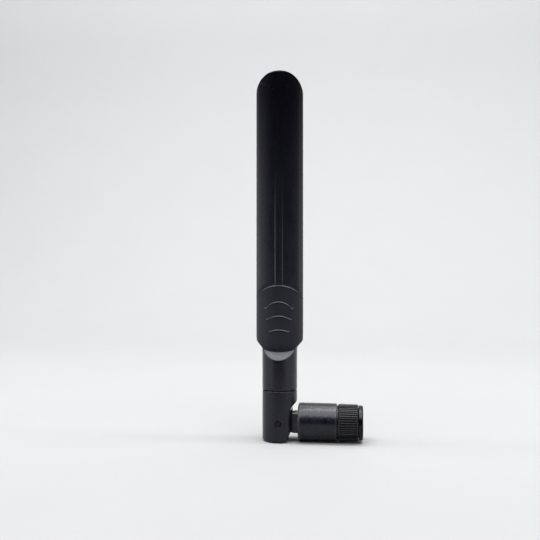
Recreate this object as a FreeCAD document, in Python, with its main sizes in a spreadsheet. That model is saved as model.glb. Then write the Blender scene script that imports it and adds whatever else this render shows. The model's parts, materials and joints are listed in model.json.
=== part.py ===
"""Articulated paddle antenna with a threaded coaxial plug, folded 90 degrees at its hinge.

Millimetres, +Z up. The origin is on the plug's axis, at the mouth of its ground sleeve, and +X points
out of the plug. Every piece is drawn about the hinge axis and then moved to its place by hinge_x.
"""
import FreeCAD, Part
import math
import os
import re

import Sketcher
from FreeCAD import Placement, Rotation, Vector

# Driving dimensions: name, millimetres or degrees or count, what it is. Positions along the plug are
# measured from the hinge axis, and so are heights.
SIZES = [
    ("hinge_x", -33.2, "hinge axis, from the origin"),
    ("paddle_half_width", 9.75, "half the width of the flat paddle"),
    ("paddle_half_depth", 4.2, "half its thickness at the middle"),
    ("paddle_face_radius", 22.0, "curve of its broad faces"),
    ("paddle_top", 144.7, "highest point of the round top"),
    ("shell_wall", 1.2, "wall of the sleeve"),
    ("shell_gap", 0.05, "gap between the sleeve and the plug-in lip of the base"),
    ("seam_top", 56.6, "top of the arched seam"),
    ("seam_radius", 12.46, "radius of the arched seam"),
    ("lip_start", 37.9, "where the solid under the lip starts"),
    ("lip_height", 6.0, "how far the base's lip reaches above the seam"),
    ("ridge_width", 0.5, "width of a raised arc"),
    ("ridge_proud", 0.22, "how far a raised arc stands out"),
    ("shoulder_top", 33.5, "where the paddle starts to narrow"),
    ("neck_radius", 7.2, "round neck and fork"),
    ("neck_bottom", 13.2, "ring seam between neck and fork"),
    ("ledge_foot", 25.9, "lowest point of the sloping ledge"),
    ("seam_chamfer", 0.25, "chamfer on both sides of the ring seam"),
    ("board_room_bottom", 34.5, "floor of the pocket that holds the board"),
    ("cable_radius", 0.9, "outer radius of the coaxial cable"),
    ("cable_bore", 1.6, "radius of the cable's passage"),
    ("cable_bend", 5.0, "radius of the cable's bend at the hinge"),
    ("cable_straight", 3.5, "straight cable on each side of the bend"),
    ("plug_in_radius", 5.0, "radius of the fork's stem inside the neck"),
    ("plug_in_length", 7.0, "length of that stem"),
    ("plug_in_play", 0.1, "room past the end of that stem"),
    ("fork_bottom", -7.8, "flat underside of the fork"),
    ("fork_edge", 1.2, "rounding of the underside's edge"),
    ("fork_sweep", 7.8, "radius about the hinge that the fork's toe keeps inside"),
    ("slot_half", 4.6, "half the width of the fork's slot"),
    ("slot_top", 4.9, "top of the slot"),
    ("slot_back", -4.4, "back of the slot"),
    ("cut_x", 5.0, "side of the fork that is cut away for the barrel"),
    ("cut_top", 6.4, "where the cut starts to slope outward"),
    ("cut_reach", 5.0, "how far that slope runs out, past the full round"),
    ("toe_top", -3.3, "where the toe under the cut starts to slope back"),
    ("toe_foot", 3.0, "where that slope reaches the underside"),
    ("tongue_half", 3.4, "half the thickness of the tongue's eye"),
    ("tongue_radius", 3.9, "round end and half height of the tongue"),
    ("block_half", 4.45, "half the thickness of the block between the eye and the barrel"),
    ("block_start", 5.5, "where that block starts"),
    ("tongue_slot_half", 1.3, "half the cable slot in the tongue"),
    ("tongue_slot_end", 7.0, "where the cable slot ends"),
    ("pin_radius", 1.25, "hinge pin"),
    ("pin_play", 0.04, "radial clearance of the pin in the tongue"),
    ("pin_outer", 7.0, "outer end of the pin"),
    ("pin_inner", 1.4, "inner end of the pin"),
    ("sink_radius", 1.35, "recess round the pin's end"),
    ("sink_floor", 6.6, "floor of that recess"),
    ("washer_outer", 3.4, "friction washer, outer radius"),
    ("washer_in", 3.45, "washer's inner face"),
    ("washer_out", 4.55, "washer's outer face"),
    ("barrel_start", 7.88, "hinge end of the swivel barrel"),
    ("barrel_end", 23.65, "nut end of the swivel barrel"),
    ("barrel_step", 7.15, "radius of the step that closes the gap to the grip"),
    ("barrel_step_end", 24.05, "end of that step"),
    ("barrel_radius", 7.8, "barrel at the hinge end"),
    ("barrel_radius_end", 7.68, "barrel at the nut end"),
    ("barrel_edge", 1.0, "rounding of the hinge end, drawn as two chamfers"),
    ("barrel_edge_share", 0.3, "where those chamfers meet, as a share of the rounding"),
    ("barrel_end_edge", 0.2, "chamfer of the nut end"),
    ("stem_radius", 4.6, "knuckle's stem inside the barrel"),
    ("stem_end", 13.0, "end of that stem"),
    ("barrel_room", 5.9, "radius of the hollow in the barrel"),
    ("room_start", 13.5, "start of that hollow"),
    ("land_start", 19.4, "start of the barrel's bearing land"),
    ("core_radius", 4.1, "core where the barrel and the nut turn on it"),
    ("core_play", 0.04, "radial clearance of the barrel on the core"),
    ("core_tail_start", 14.0, "cable end of the core"),
    ("core_start", 16.8, "start of the core's full radius"),
    ("core_flange_start", 28.2, "core's flange"),
    ("core_end", 29.4, "front face of the core's flange"),
    ("core_flange", 5.0, "radius of the core's flange"),
    ("tail_radius", 1.4, "crimp tail"),
    ("tail_bore", 0.55, "hole for the cable's inner conductor and dielectric"),
    ("clip_start", 18.5, "retaining clip"),
    ("clip_end", 19.2, "retaining clip"),
    ("clip_groove", 3.6, "floor of the clip's groove"),
    ("clip_outer", 5.2, "outer radius of the clip"),
    ("clip_mouth", 3.0, "width of the clip's opening"),
    ("ring_play", 0.05, "play of a retaining ring in its groove, on each side"),
    ("oring_x", 21.6, "middle of the friction ring"),
    ("oring_section", 0.44, "section radius of the friction ring"),
    ("oring_groove", 3.2, "floor of its groove"),
    ("oring_groove_half", 0.6, "half the width of its groove"),
    ("stop_half", 0.3, "half the width of each turning stop"),
    ("stop_lug_reach", 5.4, "how far the core's stop stands out"),
    ("stop_rib_reach", 4.5, "how far in the barrel's stop comes"),
    ("stop_end", 18.1, "end of both stops"),
    ("ferrule_start", 13.3, "cable end of the crimp ferrule"),
    ("ferrule_end", 16.7, "other end of the crimp ferrule"),
    ("ferrule_radius", 2.0, "outer radius of the crimp ferrule"),
    ("ferrule_edge", 0.3, "chamfer of its cable end"),
    ("fit", 0.02, "gap between parts that are pressed or glued together"),
    ("overlap", 0.5, "how far a shape reaches into the one it is joined to or cut from"),
    ("nut_start", 24.4, "cable end of the nut"),
    ("nut_end", 34.35, "mouth of the nut"),
    ("nut_radius", 6.0, "nut under the grip"),
    ("nut_ring_start", 32.5, "ring of the nut that stands past the grip"),
    ("nut_ring_radius", 7.05, "radius of that ring"),
    ("nut_rear_bore", 4.2, "nut's running hole on the core"),
    ("nut_relief_start", 26.4, "room for the snap ring"),
    ("nut_relief_end", 28.6, "start of the thread"),
    ("nut_relief", 5.4, "radius of that room"),
    ("thread_minor", 5.125, "inner radius of the 7/16-28 thread"),
    ("mouth_radius", 5.7, "nut's mouth at its chamfer"),
    ("mouth_depth", 0.5, "length of that chamfer"),
    ("ring_edge", 0.9, "chamfer of the nut's ring"),
    ("grip_start", 24.1, "cable end of the grip"),
    ("grip_end", 32.4, "other end of the grip"),
    ("grip_radius", 7.58, "grip over its ribs, at the cable end"),
    ("grip_radius_end", 7.44, "grip over its ribs, at the other end"),
    ("grip_root", 7.15, "grip between its ribs"),
    ("groove_share", 0.62, "share of the ribs' spacing that is groove"),
    ("grip_ribs", 48, "number of ribs"),
    ("grip_chamfer", 0.5, "chamfer of the grip's ends"),
    ("grip_hub", 4.6, "hole in the grip's inner end"),
    ("snap_start", 27.2, "snap ring of the nut"),
    ("snap_end", 27.9, "snap ring of the nut"),
    ("snap_groove", 3.7, "floor of its groove"),
    ("snap_outer", 5.25, "outer radius of the snap ring"),
    ("ground_radius", 4.05, "ground sleeve that enters the jack"),
    ("ground_bore", 3.45, "inside of the ground sleeve"),
    ("ground_shank", 3.4, "shank pressed into the core"),
    ("ground_shank_start", 28.0, "start of that shank"),
    ("ground_collar", 4.25, "collar that centres the gasket"),
    ("ground_collar_end", 30.2, "front of the collar"),
    ("ground_slit", 0.4, "width of a slit in the ground sleeve"),
    ("ground_slit_start", 30.7, "closed end of the slits"),
    ("ground_floor", 29.9, "floor of the ground sleeve"),
    ("gasket_outer", 5.0, "outer radius of the gasket"),
    ("gasket_end", 30.0, "front of the gasket"),
    ("bead_radius", 2.5, "insulating bead"),
    ("bead_start", 23.0, "cable end of the bead"),
    ("bead_nose", 31.2, "front of the bead"),
    ("bead_nose_radius", 2.3, "radius of the bead's nose"),
    ("contact_radius", 0.68, "centre contact"),
    ("contact_start", 24.0, "cable end of the centre contact"),
    ("contact_end", 32.8, "tip of the centre contact"),
    ("contact_taper", 0.9, "length of its taper"),
    ("contact_tip", 0.2, "length and radius of its blunt tip"),
    ("board_half_width", 5.5, "circuit board"),
    ("board_play", 0.2, "room beside the board in the base"),
    ("board_room_front", 1.7, "front wall of that room, from the middle"),
    ("board_front", 1.0, "front face of the board"),
    ("board_back", 1.8, "back face of the board"),
    ("board_bottom", 36.0, "lower end of the board"),
    ("board_top", 138.0, "upper end of the board"),
    ("copper", 0.07, "thickness of the copper"),
    ("copper_gap", 1.2, "half the gap in the lower arm for the cable"),
    ("bridge_height", 2.5, "height of the copper bridge that closes the gap"),
    ("arm_half_width", 4.5, "copper arms"),
    ("arm_margin", 2.0, "board past the copper's ends"),
    ("feed_height", 72.0, "feed point, between the two arms"),
    ("feed_gap", 1.5, "gap between the two arms"),
    ("stub_half_width", 1.1, "narrow start of the upper arm, at the feed point"),
    ("stub_length", 6.0, "length of that narrow start"),
    ("cable_top", 70.5, "end of the cable's jacket, on the board"),
    ("solder_half_width", 0.78, "solder joint"),
    ("solder_half_height", 1.0, "solder joint"),
    ("solder_core_height", 73.0, "solder joint of the inner conductor"),
    ("solder_braid_height", 68.5, "solder joints of the braid"),
    ("solder_braid_x", 1.9, "solder joints of the braid, from the middle"),
    ("solder_depth", 0.9, "how far a solder joint stands off the copper"),
    ("grommet_radius", 2.4, "grommet round the cable"),
    ("grommet_bottom", 20.4, "underside of the grommet"),
    ("grommet_top", 24.0, "top of the grommet"),
    ("pad_half_width", 3.0, "foam pads behind the board"),
    ("pad_back", 2.7, "back face of the foam pads"),
    ("pad_height", 7.0, "height of a foam pad"),
    ("pad_low", 80.0, "underside of the lower pad"),
    ("pad_high", 122.0, "underside of the upper pad"),
]
SIZE = {name: number for name, number, _ in SIZES}
# The raised arcs on the base: height of the arc's top, drop to its ends and half its width.
RIDGES = [(49.8, 2.7, 6.05), (44.0, 1.4, 5.3), (38.3, 0.75, 4.3)]
BIG = 160.0  # cutting tools reach this far, which is past every piece

doc = FreeCAD.newDocument("antenna")
sheet = doc.addObject("Spreadsheet::Sheet", "Sizes")
nodes = []
drawn_at = {}  # where along the plug each moved piece is drawn, by its name


def fill_sheet():
    """Write the driving dimensions into the sheet, one named cell each."""
    for row, (name, number, meaning) in enumerate(SIZES, start=1):
        sheet.set(f"A{row}", name)
        sheet.set(f"B{row}", str(number))
        sheet.set(f"C{row}", meaning)
        sheet.setAlias(f"B{row}", name)
    doc.recompute()


def formula(text):
    """Turn the names of sizes in a formula into references to their cells."""
    def cell(word):
        return f"Sizes.{word.group(0)}" if word.group(0) in SIZE else word.group(0)
    return re.sub(r"[a-z][a-z_]*", cell, str(text))


def bind(thing, **formulas):
    """Bind properties of a document object to formulas of the sizes."""
    for name, text in formulas.items():
        thing.setExpression(name, formula(text))


def move(thing, x=0, y=0, z=0):
    """Bind an object's position to formulas."""
    for axis, text in (("x", x), ("y", y), ("z", z)):
        thing.setExpression(f".Placement.Base.{axis}", formula(text))
    drawn_at[thing.Name] = x
    return thing


def node(thing, name):
    """Name a finished piece and move it from the hinge axis to its own place."""
    thing.Label = name
    thing.setExpression(".Placement.Base.x", formula(f"hinge_x + {drawn_at.get(thing.Name, 0)}"))
    nodes.append(thing)
    return thing


# --- primitives and booleans --------------------------------------------------------------------
TURN = {"x": Rotation(Vector(0, 1, 0), 90), "y": Rotation(Vector(1, 0, 0), -90), "z": Rotation()}


def cylinder(name, axis, radius, start, end, x=0, y=0, z=0):
    """A round bar along an axis, from start to end on it."""
    bar = doc.addObject("Part::Cylinder", name)
    bar.Placement = Placement(Vector(), TURN[axis])
    bind(bar, Radius=radius, Height=f"({end}) - ({start})")
    place = {"x": x, "y": y, "z": z}
    place[axis] = start
    return move(bar, **place)


def block(name, x, y, z):
    """A box from its low and high limits on each axis."""
    box = doc.addObject("Part::Box", name)
    for side, (low, high) in (("Length", x), ("Width", y), ("Height", z)):
        bind(box, **{side: f"({high}) - ({low})"})
    return move(box, x=x[0], y=y[0], z=z[0])


def cut(name, base, *tools):
    """The base with each tool taken away in turn."""
    for number, tool in enumerate(tools, start=1):
        left = doc.addObject("Part::Cut", f"{name}_cut{number}")
        left.Base = base
        left.Tool = tool
        base = left
    return base


def fuse(name, *shapes):
    """One shape made of several."""
    whole = doc.addObject("Part::MultiFuse", name)
    whole.Shapes = list(shapes)
    whole.Refine = True
    return whole


def common(name, *shapes):
    """What several shapes have in common."""
    shared = doc.addObject("Part::MultiCommon", name)
    shared.Shapes = list(shapes)
    return shared


def soften(kind, name, base, height, size):
    """Fillet or chamfer the round edge of an upright bar that lies at a height."""
    doc.recompute()
    level = SIZE[height]
    rim = next(number for number, edge in enumerate(base.Shape.Edges, start=1)
               if abs(edge.BoundBox.ZMin - level) + abs(edge.BoundBox.ZMax - level) < 1e-4)
    softened = doc.addObject(kind, name)
    softened.Base = base
    softened.Edges = [(rim, SIZE[size], SIZE[size])]
    return softened


# --- bodies made from sketches ------------------------------------------------------------------
def new_body(name):
    return doc.addObject("PartDesign::Body", name)


def origin_part(body, role):
    """One of the body's own planes or axes."""
    return next(f for f in body.Origin.OriginFeatures if f.Role == role)


def new_sketch(body, name, role, height=0):
    """A sketch on one of the body's own planes, raised by a formula."""
    sketch = body.newObject("Sketcher::SketchObject", name)
    sketch.AttachmentSupport = (origin_part(body, role), [""])
    sketch.MapMode = "FlatFace"
    sketch.setExpression(".AttachmentOffset.Base.z", formula(height))
    return sketch


def polygon(sketch, points):
    """A closed outline whose corners are formulas, each held by two dimensions."""
    count = len(points)
    corners = [Vector(10 * math.cos(2 * math.pi * i / count), 10 * math.sin(2 * math.pi * i / count), 0)
               for i in range(count)]
    for i, corner in enumerate(corners):
        sketch.addGeometry(Part.LineSegment(corner, corners[(i + 1) % count]))
    for i in range(count):
        sketch.addConstraint(Sketcher.Constraint("Coincident", i, 2, (i + 1) % count, 1))
    for i, point in enumerate(points):
        for kind, text, start in (("DistanceX", point[0], corners[i].x),
                                  ("DistanceY", point[1], corners[i].y)):
            held = sketch.addConstraint(Sketcher.Constraint(kind, -1, 1, i, 1, start))
            sketch.setExpression(f"Constraints[{held}]", formula(text))
    return sketch


def turned(name, points):
    """A piece turned about the plug's axis, from corners at (distance along, radius)."""
    body = new_body(name)
    profile = polygon(new_sketch(body, f"{name}_profile", "XZ_Plane"), points)
    turning = body.newObject("PartDesign::Revolution", f"{name}_turned")
    turning.Profile = profile
    turning.ReferenceAxis = (profile, ["H_Axis"])
    turning.Angle = 360
    body.Tip = turning
    return body


def add_groove(body, name, start, end, floor, outside):
    """Turn a square groove into the outside of a turned piece."""
    corners = [(start, floor), (end, floor), (end, outside), (start, outside)]
    profile = polygon(new_sketch(body, f"{name}_profile", "XZ_Plane"), corners)
    groove = body.newObject("PartDesign::Groove", name)
    groove.Profile = profile
    groove.ReferenceAxis = (profile, ["H_Axis"])
    groove.Angle = 360
    body.Tip = groove
    return groove


def padded(name, role, points, half):
    """A polygon on one of the origin planes, padded equally to both sides."""
    body = new_body(name)
    profile = polygon(new_sketch(body, f"{name}_outline", role), points)
    pad = body.newObject("PartDesign::Pad", f"{name}_pad")
    pad.Profile = profile
    pad.Midplane = True
    bind(pad, Length=f"2 * ({half})")
    body.Tip = pad
    return body


def lens_profile(sketch, inset):
    """Half of the paddle's section: two broad arcs joined by a tight one at the edge.

    inset moves the whole outline inward, so that every arc keeps its centre. The shape is first
    drawn without it, and then its formulas move it.
    """
    width, depth, broad = (SIZE[name] for name in
                           ("paddle_half_width", "paddle_half_depth", "paddle_face_radius"))
    sunk = broad - depth
    tight = (broad ** 2 - width ** 2 - sunk ** 2) / (2 * (broad - width))
    lean = math.atan2(sunk, width - tight)
    up = Vector(0, 0, 1)
    front = Part.Circle(Vector(0, sunk, 0), up, broad)
    edge = Part.Circle(Vector(width - tight, 0, 0), up, tight)
    back = Part.Circle(Vector(0, -sunk, 0), up, broad)
    sketch.addGeometry(Part.ArcOfCircle(front, -math.pi / 2, -lean))
    sketch.addGeometry(Part.ArcOfCircle(edge, -lean, lean))
    sketch.addGeometry(Part.ArcOfCircle(back, lean, math.pi / 2))
    sketch.addGeometry(Part.LineSegment(Vector(0, depth, 0), Vector(0, -depth, 0)))
    for rule in (("Tangent", 0, 2, 1, 1), ("Tangent", 1, 2, 2, 1), ("Coincident", 2, 2, 3, 1),
                 ("Coincident", 3, 2, 0, 1), ("PointOnObject", 3, 1, -2), ("PointOnObject", 3, 2, -2),
                 ("PointOnObject", 0, 3, -2), ("PointOnObject", 2, 3, -2), ("PointOnObject", 1, 3, -1)):
        sketch.addConstraint(Sketcher.Constraint(*rule))
    face, reach, side = "paddle_face_radius", "paddle_half_depth", "paddle_half_width"
    edge_rule = f"({face}^2 - {side}^2 - ({face} - {reach})^2) / (2 * ({face} - {side})) - ({inset})"
    for rule, text in ((("Radius", 0, broad), f"{face} - ({inset})"),
                       (("Radius", 1, tight), edge_rule),
                       (("DistanceY", -1, 1, 3, 1, depth), f"{reach} - ({inset})"),
                       (("DistanceY", -1, 1, 3, 2, -depth), f"({inset}) - {reach}")):
        held = sketch.addConstraint(Sketcher.Constraint(*rule))
        sketch.setExpression(f"Constraints[{held}]", formula(text))
    return sketch


def lens_bar(name, inset, bottom, top):
    """The paddle's section padded upward."""
    body = new_body(name)
    profile = lens_profile(new_sketch(body, f"{name}_section", "XY_Plane", bottom), inset)
    pad = body.newObject("PartDesign::Pad", f"{name}_half")
    pad.Profile = profile
    bind(pad, Length=f"({top}) - ({bottom})")
    doc.recompute()
    both = body.newObject("PartDesign::Mirrored", f"{name}_both")
    both.Originals = [pad]
    both.MirrorPlane = (origin_part(body, "YZ_Plane"), [""])
    body.Tip = both
    return body


# --- paddle -------------------------------------------------------------------------------------
DOME_CENTRE = "paddle_top - paddle_half_width"
SEAM_CENTRE = "seam_top - seam_radius"


def tongue_bar(name, inset, bottom):
    """The paddle's section with its top trimmed to a half circle."""
    bar = lens_bar(f"{name}_bar", inset, bottom, "paddle_top + overlap")
    round_top = cylinder(f"{name}_round", "y", f"paddle_half_width - ({inset})", -BIG, BIG, z=DOME_CENTRE)
    straight = block(f"{name}_straight", (-BIG, BIG), (-BIG, BIG), (0, DOME_CENTRE))
    return common(name, bar, fuse(f"{name}_outline", round_top, straight))


def make_sleeve():
    """Hollow upper shell, open below along the arched seam."""
    outer = tongue_bar("sleeve_outer", 0, "shoulder_top")
    room = tongue_bar("sleeve_room", "shell_wall", "shoulder_top - overlap")
    below = cylinder("below_seam", "y", "seam_radius", -BIG, BIG, z=SEAM_CENTRE)
    under = block("under_seam", (-BIG, BIG), (-BIG, BIG), (0, SEAM_CENTRE))
    node(cut("sleeve", outer, room, below, under), "radome_sleeve")


def ridge(number, top, drop, half):
    """A raised arc that follows the broad faces, proud of them by ridge_proud."""
    radius = (half ** 2 + drop ** 2) / (2 * drop)
    centre = top - radius
    outer = cylinder(f"ridge{number}_outer", "y", radius, -BIG, BIG, z=centre)
    inner = cylinder(f"ridge{number}_inner", "y", f"{radius} - ridge_width", -BIG, BIG, z=centre)
    span = block(f"ridge{number}_span", (-half, half), (-BIG, BIG), (f"{top - drop} - ridge_width", top))
    skin = lens_bar(f"ridge{number}_skin", "-ridge_proud", "shoulder_top", "seam_top")
    return common(f"ridge{number}", cut(f"ridge{number}_ring", outer, inner), span, skin)


def make_base():
    """Lower shell: arched top, raised arcs, shoulders, sloping ledges and a round neck."""
    bar = lens_bar("base_bar", 0, "ledge_foot", "seam_top")
    side, neck = "(paddle_half_width + fit)", "neck_radius"
    foot = f"({side} - shoulder_top + ledge_foot)"
    outline = padded("base_outline", "XZ_Plane", [
        (f"-{foot}", "ledge_foot"), (foot, "ledge_foot"), (side, "shoulder_top"),
        (side, "seam_top + overlap"), (f"-{side}", "seam_top + overlap"), (f"-{side}", "shoulder_top")], BIG)
    arch = fuse("base_arch", cylinder("base_arch_round", "y", "seam_radius", -BIG, BIG, z=SEAM_CENTRE),
                block("base_arch_low", (-BIG, BIG), (-BIG, BIG), (0, SEAM_CENTRE)))
    flat = common("base_flat", bar, outline, arch)
    ridge_line = "ledge_foot + neck_radius"
    round_neck = cylinder("base_neck_bar", "z", neck, "neck_bottom", ridge_line)
    round_neck = soften("Part::Chamfer", "base_neck_edge", round_neck, "neck_bottom", "seam_chamfer")
    roof = padded("base_roof", "YZ_Plane", [
        (f"-{neck}", "neck_bottom - overlap"), (neck, "neck_bottom - overlap"), (neck, "ledge_foot"),
        (0, ridge_line), (f"-{neck}", "ledge_foot")], BIG)
    sloped = common("base_neck", round_neck, roof)
    lip = lens_bar("base_lip", "shell_wall + shell_gap", "lip_start", "seam_top + lip_height")
    ridges = [ridge(number, *sizes) for number, sizes in enumerate(RIDGES, start=1)]
    solid = fuse("base_solid", flat, sloped, lip, *ridges)
    room = block("base_room", ("-board_half_width - board_play", "board_half_width + board_play"),
                 ("-board_room_front", "board_back + board_play / 2"), ("board_room_bottom", BIG))
    stem_hole = cylinder("base_stem_hole", "z", "plug_in_radius + fit", "neck_bottom - overlap",
                         "neck_bottom + plug_in_length + plug_in_play")
    passage = cylinder("base_passage", "z", "grommet_radius + fit", "neck_bottom",
                       "board_room_bottom + overlap")
    node(cut("base", solid, room, stem_hole, passage), "base_housing")


# --- hinge --------------------------------------------------------------------------------------
def make_fork():
    """Round fork under the neck, slotted for the tongue and cut away towards the barrel."""
    bar = cylinder("fork_bar", "z", "neck_radius", "fork_bottom", "neck_bottom")
    rounded = soften("Part::Fillet", "fork_lower_edge", bar, "fork_bottom", "fork_edge")
    rounded = soften("Part::Chamfer", "fork_upper_edge", rounded, "neck_bottom", "seam_chamfer")
    stem = cylinder("fork_stem", "z", "plug_in_radius", "neck_bottom", "neck_bottom + plug_in_length")
    solid = fuse("fork_solid", rounded, stem)
    slot = block("fork_slot", ("slot_back", BIG), ("-slot_half", "slot_half"), (-BIG, "slot_top"))
    side = padded("fork_side_cut", "XZ_Plane", [
        ("toe_foot", -BIG), ("toe_foot", "fork_bottom"), ("cut_x", "toe_top"), ("cut_x", "cut_top"),
        ("cut_x + cut_reach", "cut_top + cut_reach"), (BIG, "cut_top + cut_reach"), (BIG, -BIG)], BIG)
    toe_block = block("fork_toe_block", (0, BIG), (-BIG, BIG), (-BIG, 0))
    toe = cut("fork_toe", toe_block, cylinder("fork_sweep_bar", "y", "fork_sweep", -BIG, BIG))
    passage = cylinder("fork_passage", "z", "cable_bore", 0, BIG)
    bore = cylinder("fork_pin_bore", "y", "pin_radius", -BIG, BIG)
    sinks = [cylinder("fork_sink_front", "y", "sink_radius", -BIG, "-sink_floor"),
             cylinder("fork_sink_rear", "y", "sink_radius", "sink_floor", BIG)]
    node(cut("fork", solid, slot, side, toe, passage, bore, *sinks), "hinge_yoke")


def make_pins_and_washers():
    """A stub pin and a friction washer for each cheek; the middle stays free for the cable."""
    for place, pin_span, washer_span in (
            ("front", ("-pin_outer", "-pin_inner"), ("-washer_out", "-washer_in")),
            ("rear", ("pin_inner", "pin_outer"), ("washer_in", "washer_out"))):
        node(cylinder(f"pin_{place}", "y", "pin_radius", *pin_span), f"hinge_pin_{place}")
        low, high = washer_span
        disc = cylinder(f"washer_{place}_disc", "y", "washer_outer", low, high)
        hole = cylinder(f"washer_{place}_hole", "y", "pin_radius + 2 * fit", low, high)
        node(cut(f"washer_{place}", disc, hole), f"hinge_washer_{place}")


def make_knuckle():
    """Tongue with a round eye, a thicker block next to the barrel, and a stem inside the barrel."""
    height = ("-tongue_radius", "tongue_radius")
    eye = cylinder("tongue_eye", "y", "tongue_radius", "-tongue_half", "tongue_half")
    blade = block("tongue_blade", (0, "block_start + overlap"), ("-tongue_half", "tongue_half"), height)
    thick = block("tongue_block", ("block_start", "barrel_start - fit"),
                  ("-block_half", "block_half"), height)
    stem = cylinder("tongue_stem", "x", "stem_radius", "barrel_start - 2 * fit", "stem_end")
    solid = fuse("tongue_solid", eye, blade, thick, stem)
    split = block("tongue_split", (-BIG, "tongue_slot_end"), ("-tongue_slot_half", "tongue_slot_half"),
                  (-BIG, BIG))
    passage = cylinder("tongue_passage", "x", "cable_bore", 0, BIG)
    bore = cylinder("tongue_bore", "y", "pin_radius + pin_play", -BIG, BIG)
    node(cut("tongue", solid, split, passage, bore), "hinge_knuckle")


# --- swivel -------------------------------------------------------------------------------------
def make_barrel():
    """Barrel that carries the knuckle and turns on the core, with a stop rib inside."""
    start, end, rim, edge = "barrel_start", "barrel_end", "barrel_edge", "barrel_end_edge"
    step, share = "barrel_step_end", "barrel_edge_share * barrel_edge"
    shell = turned("barrel_shell", [
        (start, "stem_radius + fit"), (start, f"barrel_radius - {rim}"),
        (f"{start} + {share}", f"barrel_radius - {share}"), (f"{start} + {rim}", "barrel_radius"),
        (f"{end} - {edge}", "barrel_radius_end"), (end, f"barrel_radius_end - {edge}"),
        (end, "barrel_step"), (step, "barrel_step"),
        (step, "core_radius + core_play"), ("land_start", "core_radius + core_play"),
        ("land_start", "barrel_room"), ("room_start", "barrel_room"),
        ("room_start", "stem_radius + fit")])
    rib = block("barrel_rib", ("room_start", "stop_end"), ("-stop_half", "stop_half"),
                ("-barrel_room - overlap", "-stop_rib_reach"))
    node(fuse("barrel", shell, rib), "swivel_housing")


def make_core():
    """Turned metal core: crimp tail, two grooves for rings, bearing, flange and front bore."""
    core = turned("core_bar", [
        ("core_tail_start", "tail_bore"), ("core_tail_start", "tail_radius"),
        ("core_start", "tail_radius"), ("core_start", "core_radius"),
        ("core_flange_start", "core_radius"), ("core_flange_start", "core_flange"),
        ("core_end", "core_flange"), ("core_end", "ground_shank"),
        ("ground_shank_start", "ground_shank"), ("ground_shank_start", "bead_radius"),
        ("bead_start", "bead_radius"), ("bead_start", "tail_bore")])
    outside = "core_flange + overlap"
    doc.recompute()
    for name, start, end, floor in (
            ("clip_groove_cut", "clip_start - ring_play", "clip_end + ring_play", "clip_groove"),
            ("oring_groove_cut", "oring_x - oring_groove_half", "oring_x + oring_groove_half",
             "oring_groove"),
            ("snap_groove_cut", "snap_start - ring_play", "snap_end + ring_play", "snap_groove")):
        add_groove(core, name, start, end, floor, outside)
        doc.recompute()
    lug = block("core_lug", ("core_start", "stop_end"), ("-stop_half", "stop_half"),
                ("core_radius - overlap", "stop_lug_reach"))
    node(fuse("core", core, lug), "connector_core")


def split_ring(name, inner, outer, start, end):
    """A flat retaining ring with an opening, so that it can be sprung into its groove."""
    ring = cut(f"{name}_ring", cylinder(f"{name}_disc", "x", outer, start, end),
               cylinder(f"{name}_hole", "x", inner, start, end))
    mouth = block(f"{name}_mouth", (start, end), ("-clip_mouth / 2", "clip_mouth / 2"), (-BIG, 0))
    return cut(name, ring, mouth)


def make_rings():
    """Retaining clip and friction ring of the barrel, snap ring of the nut, and the gasket."""
    node(split_ring("clip", "clip_groove + fit", "clip_outer", "clip_start", "clip_end"), "swivel_clip")
    node(split_ring("snap", "snap_groove + fit", "snap_outer", "snap_start", "snap_end"), "nut_snap_ring")
    ring = doc.addObject("Part::Torus", "friction_ring")
    ring.Placement = Placement(Vector(), TURN["x"])
    bind(ring, Radius1="oring_groove + oring_section + fit", Radius2="oring_section")
    node(move(ring, x="oring_x"), "swivel_oring")
    gasket = cut("gasket", cylinder("gasket_disc", "x", "gasket_outer", "core_end", "gasket_end"),
                 cylinder("gasket_hole", "x", "ground_collar + fit", "core_end", "gasket_end"))
    node(gasket, "weather_gasket")


# --- plug ---------------------------------------------------------------------------------------
def make_contacts():
    """Slit ground sleeve, insulating bead, centre contact and crimp ferrule."""
    tip = "-hinge_x"
    sleeve = turned("ground_blank", [
        ("ground_shank_start", "bead_radius + fit"), ("ground_shank_start", "ground_shank - fit"),
        ("core_end", "ground_shank - fit"), ("core_end", "ground_collar"),
        ("ground_collar_end", "ground_collar"), ("ground_collar_end", "ground_radius"),
        (tip, "ground_radius"), (tip, "ground_bore"), ("ground_floor", "ground_bore"),
        ("ground_floor", "bead_radius + fit")])
    along, wide = ("ground_slit_start", BIG), (-BIG, BIG)
    thin = ("-ground_slit / 2", "ground_slit / 2")
    slits = fuse("ground_slits", block("ground_slit_upright", along, thin, wide),
                 block("ground_slit_level", along, wide, thin))
    slits.Placement = Placement(Vector(), Rotation(Vector(1, 0, 0), 45))
    node(cut("ground", sleeve, slits), "outer_contact")
    node(turned("bead", [
        ("bead_start", "contact_radius + fit"), ("bead_start", "bead_radius - fit"),
        ("ground_floor", "bead_radius - fit"), ("ground_floor", "bead_nose_radius"),
        ("bead_nose", "bead_nose_radius"), ("bead_nose", "contact_radius + fit")]), "insulator")
    node(turned("contact", [
        ("contact_start", 0), ("contact_start", "contact_radius"),
        ("contact_end - contact_taper", "contact_radius"), ("contact_end - contact_tip", "contact_tip"),
        ("contact_end", 0)]), "centre_contact")
    step = "core_tail_start"
    node(turned("ferrule", [
        ("ferrule_start", "cable_radius + fit"), ("ferrule_start", "ferrule_radius - ferrule_edge"),
        ("ferrule_start + ferrule_edge", "ferrule_radius"), ("ferrule_end", "ferrule_radius"),
        ("ferrule_end", "tail_radius + fit"), (f"{step} - fit", "tail_radius + fit"),
        (f"{step} - fit", "cable_radius + fit")]), "crimp_ferrule")


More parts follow.
